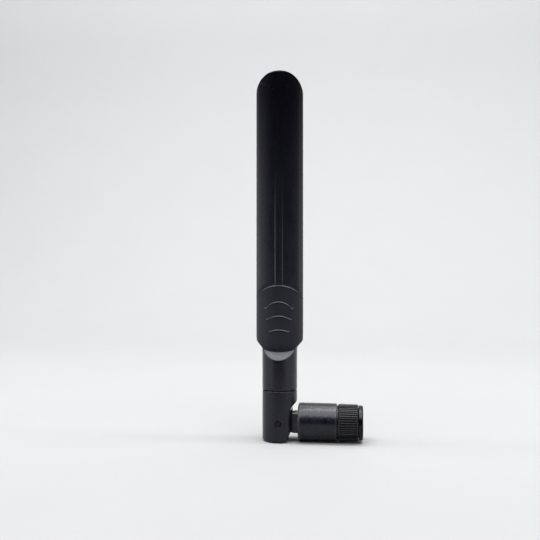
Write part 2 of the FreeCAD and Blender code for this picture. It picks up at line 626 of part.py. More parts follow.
def make_nut():
    """Coupling nut with its plain bores; the thread is drawn at its inner diameter."""
    nut = turned("nut_bar", [
        ("nut_start", "nut_rear_bore"), ("nut_start", "nut_radius"),
        ("nut_ring_start", "nut_radius"), ("nut_ring_start", "nut_ring_radius"),
        ("nut_end - ring_edge", "nut_ring_radius"), ("nut_end", "nut_ring_radius - ring_edge"),
        ("nut_end", "mouth_radius"), ("nut_end - mouth_depth", "thread_minor"),
        ("nut_relief_end", "thread_minor"), ("nut_relief_end", "nut_relief"),
        ("nut_relief_start", "nut_relief"), ("nut_relief_start", "nut_rear_bore")])
    node(nut, "coupling_nut")


def make_grip():
    """Knurled sleeve over the nut: one rib space cut and repeated all round."""
    bevel = "grip_chamfer"
    grip = turned("grip_bar", [
        ("grip_start", "grip_hub"), ("grip_start", f"grip_radius - {bevel}"),
        (f"grip_start + {bevel}", "grip_radius"), (f"grip_end - {bevel}", "grip_radius_end"),
        ("grip_end", f"grip_radius_end - {bevel}"), ("grip_end", "nut_radius + fit"),
        ("nut_start - fit", "nut_radius + fit"), ("nut_start - fit", "grip_hub")])
    doc.recompute()
    half = f"{math.pi} * grip_radius / grip_ribs * groove_share"
    groove = polygon(new_sketch(grip, "grip_groove_outline", "YZ_Plane"), [
        (0, "grip_root"), (half, "grip_radius + fit"), (f"-({half})", "grip_radius + fit")])
    space = grip.newObject("PartDesign::Pocket", "grip_groove")
    space.Profile = groove
    space.Midplane = True
    bind(space, Length=2 * BIG)
    doc.recompute()
    ring = grip.newObject("PartDesign::PolarPattern", "grip_grooves")
    ring.Originals = [space]
    ring.Axis = (origin_part(grip, "X_Axis"), [""])
    ring.Angle = 360
    bind(ring, Occurrences="grip_ribs")
    grip.Tip = ring
    node(grip, "nut_grip")


# --- cable, board and what holds them -----------------------------------------------------------
def make_cable():
    """Coaxial cable in three lengths: in the plug, round the hinge, and up to the board."""
    reach = "cable_bend + cable_straight"
    jacket = cylinder("cable_plug_jacket", "x", "cable_radius", reach, "core_tail_start - fit")
    inner = cylinder("cable_plug_inner", "x", "tail_bore - fit", "core_tail_start - overlap",
                     "contact_start")
    node(fuse("cable_plug", jacket, inner), "coax_connector_end")
    radius, run, turn = SIZE["cable_radius"], SIZE["cable_straight"], SIZE["cable_bend"]
    start, corner = Vector(turn + run, 0, 0), Vector(turn, 0, 0)
    middle = Vector(turn - turn * math.sin(math.pi / 4), 0, turn - turn * math.cos(math.pi / 4))
    rise, end = Vector(0, 0, turn), Vector(0, 0, turn + run)
    route = Part.Wire([Part.LineSegment(start, corner).toShape(), Part.Arc(corner, middle, rise).toShape(),
                       Part.LineSegment(rise, end).toShape()])
    mouth = Part.Wire([Part.makeCircle(radius, start, Vector(1, 0, 0))])
    bend = doc.addObject("Part::Feature", "cable_bend_pipe")
    bend.Shape = Part.Solid(route.makePipeShell([mouth], True, False))
    node(bend, "coax_hinge_bend")
    node(cylinder("cable_up", "z", "cable_radius", reach, "cable_top"), "coax_antenna_end")
    node(cut("grommet", cylinder("grommet_bar", "z", "grommet_radius", "grommet_bottom", "grommet_top"),
             cylinder("grommet_hole", "z", "cable_radius + fit", "grommet_bottom", "grommet_top")),
         "coax_grommet")


def make_board():
    """Circuit board with two copper arms, solder joints at the feed, and foam pads behind."""
    node(block("board", ("-board_half_width", "board_half_width"), ("board_front", "board_back"),
               ("board_bottom", "board_top")), "antenna_board")
    skin = ("board_front - copper", "board_front")
    upper = fuse("arm_up", block("arm_up_stub", ("-stub_half_width", "stub_half_width"), skin,
                                 ("feed_height", "feed_height + stub_length")),
                 block("arm_up_blade", ("-arm_half_width", "arm_half_width"), skin,
                       ("feed_height + stub_length", "board_top - arm_margin")))
    node(upper, "radiator_upper")
    low = ("board_bottom + arm_margin", "feed_height - feed_gap")
    gap = "copper_gap"
    lower = fuse("arm_low", block("arm_low_left", ("-arm_half_width", f"-{gap}"), skin, low),
                 block("arm_low_right", (gap, "arm_half_width"), skin, low),
                 block("arm_low_bridge", (f"-{gap}", gap), skin, (f"{low[1]} - bridge_height", low[1])))
    node(lower, "radiator_lower")
    joints = []
    for name, x, z in (("solder_core", 0, "solder_core_height"),
                       ("solder_braid_left", "-solder_braid_x", "solder_braid_height"),
                       ("solder_braid_right", "solder_braid_x", "solder_braid_height")):
        bead = doc.addObject("Part::Ellipsoid", name)
        bead.Placement = Placement(Vector(), Rotation())
        bind(bead, Radius1="solder_half_height", Radius2="solder_half_width", Radius3="solder_depth")
        move(bead, x=x, y="board_front - copper", z=z)
        front = block(f"{name}_front", (-BIG, BIG), (-BIG, "board_front - copper"), (-BIG, BIG))
        clear = cylinder(f"{name}_cable", "z", "cable_radius", 0, "cable_top")
        joints.append(cut(name + "_clear", common(f"{name}_half", bead, front), clear))
    node(fuse("solder", *joints), "solder_joints")
    pads = [block(f"pad_{place}", ("-pad_half_width", "pad_half_width"), ("board_back", "pad_back"),
                  (low, f"{low} + pad_height")) for place, low in (("low", "pad_low"), ("high", "pad_high"))]
    node(fuse("pads", *pads), "board_pads")


# --- checks and export --------------------------------------------------------------------------
def check_document():
    """Stop on any feature that failed and on any piece that isn't a sound solid."""
    doc.recompute()
    failed = [thing.Name for thing in doc.Objects
              if any(word in thing.State for word in ("Invalid", "Error"))]
    if failed:
        raise RuntimeError("failed features: " + ", ".join(failed))
    for thing in nodes:
        if thing.Shape.isNull() or not thing.Shape.isValid() or not thing.Shape.Solids:
            raise RuntimeError(f"{thing.Label} is not a sound solid")


def export():
    os.makedirs("parts", exist_ok=True)
    for thing in nodes:
        thing.Shape.exportStep(f"parts/{thing.Label}.step")
        box = thing.Shape.optimalBoundingBox(False)
        print(f"{thing.Label:20s} {len(thing.Shape.Solids)} solid  {thing.Shape.Volume:9.2f} mm3  "
              f"x {box.XMin:7.2f} {box.XMax:7.2f}  y {box.YMin:6.2f} {box.YMax:6.2f}  "
              f"z {box.ZMin:7.2f} {box.ZMax:7.2f}")


fill_sheet()
make_sleeve()
make_base()
make_fork()
make_pins_and_washers()
make_knuckle()
make_barrel()
make_core()
make_rings()
make_contacts()
make_nut()
make_grip()
make_cable()
make_board()
check_document()
export()
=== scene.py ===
"""Looks of the articulated paddle antenna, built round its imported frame. Metres, +Z up."""
import json
import math

import bmesh
import bpy
import numpy as np
from mathutils import Matrix, Vector


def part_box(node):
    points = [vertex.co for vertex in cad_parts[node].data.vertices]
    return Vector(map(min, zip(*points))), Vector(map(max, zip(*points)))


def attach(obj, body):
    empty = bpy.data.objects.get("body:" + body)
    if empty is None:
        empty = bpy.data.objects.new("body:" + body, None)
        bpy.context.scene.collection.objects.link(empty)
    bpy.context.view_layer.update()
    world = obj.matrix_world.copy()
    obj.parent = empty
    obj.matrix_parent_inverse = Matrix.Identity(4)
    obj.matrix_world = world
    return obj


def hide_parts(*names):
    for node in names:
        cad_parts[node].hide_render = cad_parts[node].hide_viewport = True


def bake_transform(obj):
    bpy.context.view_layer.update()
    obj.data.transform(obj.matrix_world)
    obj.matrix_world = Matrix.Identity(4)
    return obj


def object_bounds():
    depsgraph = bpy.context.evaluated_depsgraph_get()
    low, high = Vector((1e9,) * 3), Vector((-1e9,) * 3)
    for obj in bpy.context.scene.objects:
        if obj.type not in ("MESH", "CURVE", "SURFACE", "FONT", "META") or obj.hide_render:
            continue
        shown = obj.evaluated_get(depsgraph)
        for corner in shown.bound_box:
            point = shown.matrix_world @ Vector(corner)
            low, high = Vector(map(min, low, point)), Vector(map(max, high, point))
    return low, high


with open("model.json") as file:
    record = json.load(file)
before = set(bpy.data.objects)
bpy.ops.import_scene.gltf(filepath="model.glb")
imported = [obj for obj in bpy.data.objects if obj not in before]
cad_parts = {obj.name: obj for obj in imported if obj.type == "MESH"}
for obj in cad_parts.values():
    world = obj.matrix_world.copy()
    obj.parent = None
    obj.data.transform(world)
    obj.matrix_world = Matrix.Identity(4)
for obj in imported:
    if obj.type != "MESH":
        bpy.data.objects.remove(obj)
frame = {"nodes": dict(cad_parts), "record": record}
CAD_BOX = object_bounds()
MM = 0.001
JOINTS = {joint["name"]: joint for joint in frame["record"]["behaviour"]["joints"]}
HINGE = Vector(JOINTS["tilt"]["pos_m"])

# --- sizes of the paddle ------------------------------------------------------------------------
# Sizes are in millimetres, with heights from the hinge axis. What isn't here comes from the frame's boxes.
FACE_RADIUS = 22.0
SHELL_WALL = 1.2
LIP_GAP = 0.05
SEAM_RADIUS = 12.46
SEAM_TOP = 56.6
SHOULDER_TOP = 33.5
LEDGE_FOOT = 25.9
DOME_EDGE = 0.7
# Roundings where the neck meets the ledges, the shoulders the flanks, and the ledges the shoulders.
NECK_BLEND, SHOULDER_BLEND, LEDGE_BLEND = 0.16, 0.5, 0.55
# Flat strip down the middle of the broad faces; it fades out between two heights.
STRIP_HALF, STRIP_EDGE, STRIP_PROUD = 1.5, 0.5, 0.22
STRIP_FADE = (62.0, 118.0)
# Groove round the foot of the neck, and the rounding above it.
GROOVE_HEIGHT, GROOVE_DEPTH, GROOVE_ROUNDING, GROOVE_STEPS = 0.34, 0.7, 0.1, 5
# Raised arcs: height of the top, drop to the ends, half the width.
RIDGES = [(49.8, 2.7, 6.05), (44.0, 1.4, 5.3), (38.3, 0.75, 4.3)]
# Share of an arc's half width that is round; past it the end lifts, and gets thinner by a share.
RIDGE_ARM, RIDGE_LIFT, RIDGE_THINNING = 0.85, 0.3, 0.6
# Section of an arc, a wedge that faces up, from its top down: (height, how proud).
RIDGE_SECTION = [(0.02, -0.1), (0.02, 0.0), (-0.12, 0.08), (-0.30, 0.20), (-0.37, 0.22), (-0.42, 0.19),
                 (-0.44, 0.0), (-0.44, -0.1)]
# Section of the seam's raised edge, from its foot up: (how far below the seam, how proud).
SEAM_SECTION = [(0.58, 0.0), (0.56, 0.17), (0.51, 0.20), (0.44, 0.18), (0.26, 0.07), (0.10, -0.02),
                (0.0, -0.1)]
# It isn't proud at the paddle's sides, and this is how fast it rises from there to the broad faces.
SEAM_FACING = 5.0
# Rounded rims of the upper shell's open end: (height above the seam, extra inset).
OUTER_RIM = [(0.0, 0.16), (0.02, 0.08), (0.08, 0.02), (0.16, 0.0)]
INNER_RIM = [(0.0, 0.0), (0.1, 0.0), (0.2, 0.0), (0.3, 0.0)]
# Inside the lower shell: play beside and below the board, round the grommet, and round the fork's stem.
BOARD_PLAY, BOARD_DROP = (0.2, 0.05), 1.5
GROMMET_PLAY = 0.02
CABLE_WAY_MIDDLE = 33.0
STEM_HOLE, STEM_PLAY = 5.02, 0.1
# Steps along the section's broad and tight arcs, and along the upper shell's sides and round top.
BROAD_STEPS, TIGHT_STEPS, SLEEVE_STEPS = 34, 18, 84
SIDE_STEPS, DOME_STEPS = 46, 61
# Heights of the lower shell's rings: up the neck, (start, end, step) twice, then up the flanks.
NECK_TOP, NECK_STEP = 24.6, 1.1
LEDGE_RINGS = (24.7, 34.0, 0.1)
SHOULDER_RINGS = (34.2, 36.6, 0.4)
FLANK_START, FLANK_STEPS, FLANK_MARGIN = 37.0, 14, 0.6
RIDGE_STEPS = 81

# --- sizes of the hinge and the barrel ----------------------------------------------------------
BLOCK_START, BLOCK_HALF = 5.5, 4.45
# Fine line that the mould's halves left on the knuckle: height, gaps at its ends, section as (out, up).
MOULD_LINE, MOULD_LINE_ENDS = -0.7, (0.4, 0.05)
MOULD_LINE_SECTION = [(-0.2, -0.12), (0.09, -0.12), (0.06, 0.0), (0.0, 0.12), (-0.2, 0.25)]
MOULD_LINE_STEPS = 9
# Voxel and rounds of smoothing that round the edges of the fork and of the knuckle.
FORK_SOFTNESS, KNUCKLE_SOFTNESS = (0.13, 4), (0.11, 4)
PIN_GROOVE_DEPTH, PIN_GROOVE_LENGTH = 0.13, 0.3
BARREL_BORE, BARREL_TAPER, BARREL_ROUNDING = 4.62, 0.12, 1.15
# The barrel's side narrows by this share of its taper over this stretch at each end.
RIM_REACH, RIM_SHARE = 1.3, 0.05
RIM_BEVEL_LENGTH, RIM_BEVEL_DEPTH = 0.18, 0.42
STEP_RADIUS, STEP_LENGTH = 6.9, 0.4
LAND_RADIUS, LAND_LENGTH = 4.14, 4.65
HOLLOW_RADIUS, HOLLOW_START = 5.9, 5.62

# --- sizes of the nut, the plug and the cable ---------------------------------------------------
NUT_RADIUS, NUT_REAR_BORE, NUT_MOUTH = 6.0, 4.2, 5.6
RING_LENGTH, RING_ROUNDING = 1.85, 1.15
THREAD_MINOR, THREAD_MAJOR, THREAD_PITCH = 5.125, 5.55, 25.4 / 28
THREAD_START, THREAD_FADE, THREAD_STEPS = 0.45, 0.5, 9
# Share of the thread's depth at a groove's middle, cut off at 1, and how fast it falls to the sides.
THREAD_CUT, THREAD_FLANK = 1.25, 3.2
RELIEF_RADIUS, RELIEF_START, RELIEF_END = 5.4, 2.0, 4.2
GRIP_RIBS, GRIP_DEPTH, GRIP_TAPER, GRIP_HUB = 48, 0.42, 0.14, 4.6
# Shares of the way from a groove's middle to a rib's where the flank starts and ends; points for each rib.
GRIP_FLANK, GRIP_SAMPLES = (0.2, 0.7), 14
# The grip's ends: depth of the bevel, its length over its depth, and how far below it the end face starts.
GRIP_BEVEL, GRIP_BEVEL_SLANT, GRIP_FACE_DROP, GRIP_BEVEL_STEPS = 0.62, 1.1, 0.1, 7
GRIP_MIDDLE = (0.15, 0.85, 5)
GRIP_WALL, GRIP_PLAY = 0.3, 0.02
BEAD_BORE, BEAD_NOSE, BEAD_NOSE_START = 0.7, 2.3, 6.9
CONTACT_NOSE, CONTACT_TIP, CONTACT_TIP_RADIUS = 0.9, 0.12, 0.3
CABLE_RADIUS, CABLE_BEND, CABLE_RUN = 0.9, 5.0, 3.5
CABLE_COLUMNS, CABLE_RUN_STEPS, CABLE_BEND_STEPS = 28, 5, 25
# A radius that counts as on the axis, because points this close are welded.
ON_AXIS = 0.001


def box_mm(node):
    """A node's low and high corners in millimetres from the hinge axis."""
    low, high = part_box(node)
    return (low - HINGE) / MM, (high - HINGE) / MM


SLEEVE_HIGH = box_mm("radome_sleeve")[1]
BASE_LOW, BASE_HIGH = box_mm("base_housing")
HALF_WIDTH = SLEEVE_HIGH.x
HALF_DEPTH = SLEEVE_HIGH.y
NECK_RADIUS = BASE_HIGH.y
DOME_CENTRE = SLEEVE_HIGH.z - HALF_WIDTH
SEAM_CENTRE = SEAM_TOP - SEAM_RADIUS


# --- studio, in metres, watts and degrees -------------------------------------------------------
# Each fade of the room is (from, to, level there, level past it) along one axis of the direction.
ROOM_OPENING = (-0.95, -0.55, 0.03, 1.25)
ROOM_SIDES = (-0.5, 0.5, 1.4, 1.0)
ROOM_HEIGHT = (0.10, 0.50, 1.0, 0.30)
ROOM_DEPTH = (-0.25, 0.0, 0.05, 1.0)
ROOM_COLOUR = (0.97, 0.98, 1.0, 1.0)
BACKDROP_LEVEL = 0.82
# Lights: place, target, (width, height), power.
LIGHTS = {
    "overhead": ((0.0, -0.34, 0.80), (0.0, -0.05, 0.0), (1.15, 0.80), 14.6),
    "backdrop": ((0.0, 0.05, 0.90), (0.0, 0.80, 0.2), (2.40, 0.30), 26.0),
    "rear": ((0.0, 0.34, 0.80), (0.0, 0.0, 0.0), (0.80, 0.30), 3.2),
}
# The floor runs back from in front of the antenna, curves up and ends in a straight wall.
FLOOR_FRONT, FLOOR_BACK, FLOOR_HALF = 0.17, 0.35, 1.6
SWEEP_RADIUS, SWEEP_STEPS, SWEEP_START, WALL_TOP = 0.4, 14, 0.1, 1.8
PAPER_DARK, PAPER_LIGHT = (0.268, 0.269, 0.272), (0.278, 0.279, 0.282)
# Camera: angle from square-on, then how far back, up and to the left of the hinge; lens in millimetres.
CAMERA_AZIMUTH, CAMERA_DISTANCE, CAMERA_HEIGHT, CAMERA_ASIDE = 6.5, 0.3071, 0.0705, 0.004045
CAMERA_LENS, CAMERA_SENSOR, CAMERA_CLIP = 49.3, 36.0, (0.01, 20.0)


# --- mesh building ------------------------------------------------------------------------------
# Points closer than WELD are one, and an edge shorter than SLIVER goes, in millimetres.
WELD, SLIVER = 0.002, 0.001
# A corner within STRAIGHT radians of straight isn't rounded; a rounding takes up to SIDE_SHARE of a side.
STRAIGHT, SIDE_SHARE = 0.01, 0.45
# Least divisor, and a distance past every surface.
TINY, FAR = 1e-4, 40.0


def make_object(name, points_mm, faces):
    """A smooth-shaded mesh from points in millimetres from the hinge axis."""
    grid = bmesh.new()
    corners = [grid.verts.new(HINGE + Vector(point) * MM) for point in points_mm]
    for face in faces:
        grid.faces.new([corners[i] for i in face])
    bmesh.ops.remove_doubles(grid, verts=grid.verts, dist=WELD * MM)
    bmesh.ops.dissolve_degenerate(grid, edges=grid.edges, dist=SLIVER * MM)
    bmesh.ops.recalc_face_normals(grid, faces=grid.faces)
    mesh = bpy.data.meshes.new(name)
    grid.to_mesh(mesh)
    grid.free()
    return add_mesh(name, mesh)


def add_mesh(name, mesh):
    """Put a mesh in the scene, smooth-shaded."""
    for polygon in mesh.polygons:
        polygon.use_smooth = True
    thing = bpy.data.objects.new(name, mesh)
    bpy.context.scene.collection.objects.link(thing)
    return thing


def loft_faces(rows, columns, round_rows=True, close_rows=False, first=0):
    """Quads between neighbouring rows of a grid of points."""
    faces = []
    for row in range(rows if close_rows else rows - 1):
        below, above = first + row * columns, first + (row + 1) % rows * columns
        for column in range(columns if round_rows else columns - 1):
            beside = (column + 1) % columns
            faces.append((below + column, below + beside, above + beside, above + column))
    return faces


def end_caps(rows, columns):
    """The faces that close a tube of rings at its first and last ring."""
    last = rows * columns - 1
    return [tuple(range(columns)), tuple(last - i for i in range(columns))]


def loft(name, rings):
    """A solid from closed rings of equal length, with the last ring joined to the first."""
    rings = np.asarray(rings, float)
    return make_object(name, rings.reshape(-1, 3), loft_faces(*rings.shape[:2], close_rows=True))


def full_turn(columns):
    """Even angles all the way round."""
    return np.linspace(0, 2 * math.pi, columns, endpoint=False)


def ring_along(along, radius, turn):
    """A ring about the plug's axis; radius is one number or one for each angle."""
    radius = np.broadcast_to(radius, turn.shape)
    return np.stack([np.full(len(turn), along), radius * np.cos(turn), radius * np.sin(turn)], axis=1)


def ring_at(radius, turn, height):
    """A level ring about the paddle's middle line; radius is one number or one for each angle."""
    radius = np.broadcast_to(radius, turn.shape)
    return np.stack([radius * np.cos(turn), radius * np.sin(turn), np.full(len(turn), height)], axis=1)


def rounded(corners, steps=5):
    """An outline in a plane with each corner (x, y, radius) rounded by an arc; it is closed."""
    line = []
    count = len(corners)
    for i, (x, y, radius) in enumerate(corners):
        here = np.array([x, y])
        back = np.array(corners[i - 1][:2]) - here
        ahead = np.array(corners[(i + 1) % count][:2]) - here
        back_length, ahead_length = np.linalg.norm(back), np.linalg.norm(ahead)
        back, ahead = back / back_length, ahead / ahead_length
        angle = math.acos(float(np.clip(back @ ahead, -1, 1)))
        if radius <= 0 or angle > math.pi - STRAIGHT:
            line.append(here)
            continue
        reach = min(radius / math.tan(angle / 2), SIDE_SHARE * back_length, SIDE_SHARE * ahead_length)
        radius = reach * math.tan(angle / 2)
        middle = (back + ahead) / np.linalg.norm(back + ahead)
        centre = here + middle * radius / math.sin(angle / 2)
        start, end = here + back * reach - centre, here + ahead * reach - centre
        for step in range(steps + 1):
            share = step / steps
            blend = start * (1 - share) + end * share
            line.append(centre + blend / np.linalg.norm(blend) * radius)
    return line


def turned(name, corners, columns=64):
    """A solid of revolution about the plug's axis from (distance along, radius, rounding) corners."""
    turn = full_turn(columns)
    return loft(name, [ring_along(x, radius, turn) for x, radius in rounded(corners)])


def softened(node, name, voxel, rounds):
    """A copy of a CAD node with its edges rounded a little, as moulding leaves them."""
    mesh = frame["nodes"][node].data.copy()
    mesh.materials.clear()
    mesh.transform(Matrix.Scale(1 / MM, 4) @ Matrix.Translation(-HINGE))
    work = bpy.data.objects.new(name + "_work", mesh)
    bpy.context.scene.collection.objects.link(work)
    remesh = work.modifiers.new("even", "REMESH")
    remesh.mode = "VOXEL"
    remesh.voxel_size = voxel
    smooth = work.modifiers.new("soft", "SMOOTH")
    smooth.factor = 0.5
    smooth.iterations = rounds
    fewer = work.modifiers.new("fewer", "DECIMATE")
    fewer.ratio = 0.5
    bpy.context.view_layer.update()
    graph = bpy.context.evaluated_depsgraph_get()
    final = bpy.data.meshes.new_from_object(work.evaluated_get(graph))
    bpy.data.objects.remove(work)
    final.name = name
    final.transform(Matrix.Translation(HINGE) @ Matrix.Scale(MM, 4))
    return add_mesh(name, final)


def join(pieces):
    """Put several meshes into the first one."""
    with bpy.context.temp_override(active_object=pieces[0], selected_editable_objects=pieces,
                                   object=pieces[0], selected_objects=pieces):
        bpy.ops.object.join()
    return pieces[0]


# --- the paddle's section -----------------------------------------------------------------------
def lens_arcs():
    """Centre distance of the broad arcs, and radius and centre distance of the tight edge arcs."""
    sunk = FACE_RADIUS - HALF_DEPTH
    tight = (FACE_RADIUS ** 2 - HALF_WIDTH ** 2 - sunk ** 2) / (2 * (FACE_RADIUS - HALF_WIDTH))
    return sunk, tight, HALF_WIDTH - tight


def half_lens(inset, broad_steps=BROAD_STEPS):
    """Right half of the section from the front's middle round the edge to the back's middle.

    The same place in the list is the same place on the outline whatever the inset, which moves
    the outline inward along its normals.
    """
    sunk, tight, side = lens_arcs()
    lean = math.atan2(sunk, side)
    points = []
    for centre, radius, start, end, steps in (
            ((0, sunk), FACE_RADIUS, -math.pi / 2, -lean, broad_steps),
            ((side, 0), tight, -lean, lean, TIGHT_STEPS),
            ((0, -sunk), FACE_RADIUS, lean, math.pi / 2, broad_steps)):
        for step in range(steps):
            angle = start + (end - start) * step / steps
            points.append((centre[0] + (radius - inset) * math.cos(angle),
                           centre[1] + (radius - inset) * math.sin(angle)))
    points.append((0, HALF_DEPTH - inset))
    return np.array(points)


def lens_loop(inset):
    """The whole section as a closed loop, starting at the front's middle."""
    right = half_lens(inset)
    left = right[-2:0:-1] * [-1, 1]
    return np.concatenate([right, left])


def lens_depth(x, inset=0.0):
    """Half the paddle's thickness at a distance from its middle."""
    sunk, tight, side = lens_arcs()
    x = np.abs(x)
    lean = math.atan2(sunk, side)
    broad = np.sqrt(np.maximum((FACE_RADIUS - inset) ** 2 - x ** 2, 0)) - sunk
    edge = np.sqrt(np.maximum((tight - inset) ** 2 - np.maximum(x - side, 0) ** 2, 0))
    return np.where(x > side + (tight - inset) * math.cos(lean), edge, broad)


def lens_radius(turn):
    """Distance from the paddle's middle line to its skin in each direction."""
    sunk, tight, side = lens_arcs()
    across, up = np.abs(np.cos(turn)), np.abs(np.sin(turn))
    broad = -sunk * up + np.sqrt(sunk ** 2 * up ** 2 + FACE_RADIUS ** 2 - sunk ** 2)
    tight_root = np.maximum(side ** 2 * across ** 2 + tight ** 2 - side ** 2, 0)
    edge = side * across + np.sqrt(tight_root)
    joint = math.atan2(tight * sunk / (FACE_RADIUS - tight), side + tight * side / (FACE_RADIUS - tight))
    return np.where(np.arctan2(up, across) < joint, edge, broad)


def seam_height(x):
    """Height of the arched seam between the two shells."""
    return SEAM_CENTRE + np.sqrt(SEAM_RADIUS ** 2 - np.minimum(np.abs(x), SEAM_RADIUS) ** 2)


def smooth_step(value):
    """0 to 1 with level ends."""
    value = np.clip(value, 0, 1)
    return value * value * (3 - 2 * value)


def soft_max(a, b, blend):
    """The larger of two values, with the change from one to the other rounded over blend."""
    return 0.5 * (a + b + np.sqrt((a - b) ** 2 + blend ** 2))


def soft_min(a, b, blend):
    """The smaller of two values, rounded likewise."""
    return 0.5 * (a + b - np.sqrt((a - b) ** 2 + blend ** 2))


# --- materials ----------------------------------------------------------------------------------
class Shader:
    """Builds one node material. What makes a texture or a value returns the socket to use next."""

    # Pointiness from which an edge turns lighter, rubbed and on the barrel partly as a painted highlight,
    # and at which it is wholly so.
    RUBBED_AND_HIGHLIT_POINTINESS = (0.505, 0.56)

    def __init__(self, name):
        self.material = bpy.data.materials.new(name)
        self.material.use_nodes = True
        self.nodes = self.material.node_tree.nodes
        self.links = self.material.node_tree.links
        self.surface = self.nodes["Principled BSDF"]
        self.place = self.nodes.new("ShaderNodeTexCoord").outputs["Object"]

    def set(self, **values):
        """Set the surface's own sockets."""
        for name, value in values.items():
            self.surface.inputs[name.replace("_", " ")].default_value = value

    def drive(self, name, socket):
        """Let a socket set one of the surface's inputs."""
        self.links.new(socket, self.surface.inputs[name])

    def scaled(self, size_mm, stretch=(1, 1, 1)):
        """The place on the object, in units of size_mm."""
        mapping = self.nodes.new("ShaderNodeMapping")
        mapping.inputs["Scale"].default_value = [s / (size_mm * MM) for s in stretch]
        self.links.new(self.place, mapping.inputs["Vector"])
        return mapping.outputs["Vector"]

    def noise(self, size_mm, detail=3.0, stretch=(1, 1, 1)):
        """Noise whose features are about size_mm across."""
        noise = self.nodes.new("ShaderNodeTexNoise")
        noise.inputs["Scale"].default_value = 1.0
        noise.inputs["Detail"].default_value = detail
        noise.inputs["Roughness"].default_value = 0.55
        self.links.new(self.scaled(size_mm, stretch), noise.inputs["Vector"])
        return noise.outputs["Fac"]

    def pits(self, size_mm):
        """Close-set rounded cells, like a spark-eroded mould."""
        cells = self.nodes.new("ShaderNodeTexVoronoi")
        cells.feature = "SMOOTH_F1"
        cells.inputs["Scale"].default_value = 1.0
        self.links.new(self.scaled(size_mm), cells.inputs["Vector"])
        return cells.outputs["Distance"]

    def edges(self):
        """Near 1 on convex edges, which are rubbed lighter, and on the barrel partly painted as a
        highlight.
        """
        point = self.nodes.new("ShaderNodeNewGeometry").outputs["Pointiness"]
        return self.spread(point, *self.RUBBED_AND_HIGHLIT_POINTINESS)

    def height(self):
        """Height above the hinge axis, in metres."""
        apart = self.nodes.new("ShaderNodeSeparateXYZ")
        self.links.new(self.place, apart.inputs[0])
        return apart.outputs["Z"]

    def spread(self, socket, low, high, to_low=0.0, to_high=1.0):
        """Stretch the values from low to high over a new range, and cut off the rest."""
        ranger = self.nodes.new("ShaderNodeMapRange")
        ranger.inputs["From Min"].default_value = low
        ranger.inputs["From Max"].default_value = high
        ranger.inputs["To Min"].default_value = to_low
        ranger.inputs["To Max"].default_value = to_high
        self.links.new(socket, ranger.inputs["Value"])
        return ranger.outputs["Result"]

    def math(self, operation, a, b):
        """a and b are sockets or numbers."""
        step = self.nodes.new("ShaderNodeMath")
        step.operation = operation
        for place, value in enumerate((a, b)):
            if isinstance(value, (int, float)):
                step.inputs[place].default_value = value
            else:
                self.links.new(value, step.inputs[place])
        return step.outputs[0]

    def mix(self, factor, first, second):
        """Colour between two colours, each a tuple or a socket."""
        mixer = self.nodes.new("ShaderNodeMix")
        mixer.data_type = "RGBA"
        self.links.new(factor, mixer.inputs[0])
        for place, value in ((6, first), (7, second)):
            if isinstance(value, tuple):
                mixer.inputs[place].default_value = (*value, 1)
            else:
                self.links.new(value, mixer.inputs[place])
        return mixer.outputs[2]

    def bump(self, *layers):
        """Each layer is (height socket, depth in millimetres), from coarse to fine."""
        normal = None
        for height, depth_mm in layers:
            bump = self.nodes.new("ShaderNodeBump")
            bump.inputs["Strength"].default_value = 1.0
            bump.inputs["Distance"].default_value = depth_mm * MM
            self.links.new(height, bump.inputs["Height"])
            if normal is not None:
                self.links.new(normal, bump.inputs["Normal"])
            normal = bump.outputs["Normal"]
        self.drive("Normal", normal)


def moulded(name, dark, light, rough, grain_mm, grain_depth, sheen, rubbing_and_highlight=0.35, lathe_mm=0.0, edge=None,
            painted_light_by_height=None):
    """Black moulded plastic: fine grain, faint mottling, and edges rubbed lighter, on the barrel partly as
    a painted highlight.

    lathe_mm is the depth of the marks that a turned mould leaves round the plug's axis. A colour given for
    the edges takes the place of a lighter black; on the barrel's rims it is partly rubbed pale and partly a
    painted highlight. The last argument paints light and shade higher up, for how the light falls there:
    the heights between which it fades in, added roughness, colour and sheen.
    """
    make = Shader(name)
    make.set(Specular_IOR_Level=sheen, Specular_Tint=(0.94, 0.94, 1.0, 1.0))
    mottle = make.noise(9.0, detail=4.0)
    speck = make.noise(1.6 * grain_mm, detail=2.0)
    body = make.mix(make.spread(mottle, 0.35, 0.65), dark, light)
    streaks = make.noise(3.0, detail=5.0, stretch=(1, 1, 0.25))
    uneven = make.math("ADD", make.spread(streaks, 0.3, 0.7, -0.05, 0.05),
                       make.spread(speck, 0.3, 0.7, -0.04, 0.04))
    gloss = make.math("ADD", uneven, rough)
    # Higher up, colour, roughness and sheen change: painted light and shade, for how the light falls there.
    if painted_light_by_height:
        low, high, added_rough, colour, painted_sheen_higher_up = painted_light_by_height
        above = make.spread(make.height(), low * MM, high * MM)
        body = make.mix(above, body, colour)
        gloss = make.math("ADD", gloss, make.math("MULTIPLY", above, added_rough))
        make.drive("Specular IOR Level", make.spread(above, 0, 1, sheen, painted_sheen_higher_up))
    # Convex edges turn lighter: rubbed, and on the barrel's rims partly a painted highlight.
    rubbed_and_highlit_edges = make.math("MULTIPLY", make.edges(), make.spread(make.noise(2.2), 0.35, 0.7, 0.2 * rubbing_and_highlight, rubbing_and_highlight))
    make.drive("Base Color", make.mix(rubbed_and_highlit_edges, body, edge or tuple(2.2 * c + 0.006 for c in light)))
    make.drive("Roughness", gloss)
    unevenness_mm = 0.03
    layers = [(make.noise(14.0, detail=2.0), unevenness_mm), (make.pits(grain_mm), grain_depth),
              (speck, 0.6 * grain_depth)]
    if lathe_mm:
        layers.insert(1, (make.noise(0.55, stretch=(1, 0.3, 0.3)), lathe_mm))
    make.bump(*layers)
    return make.material


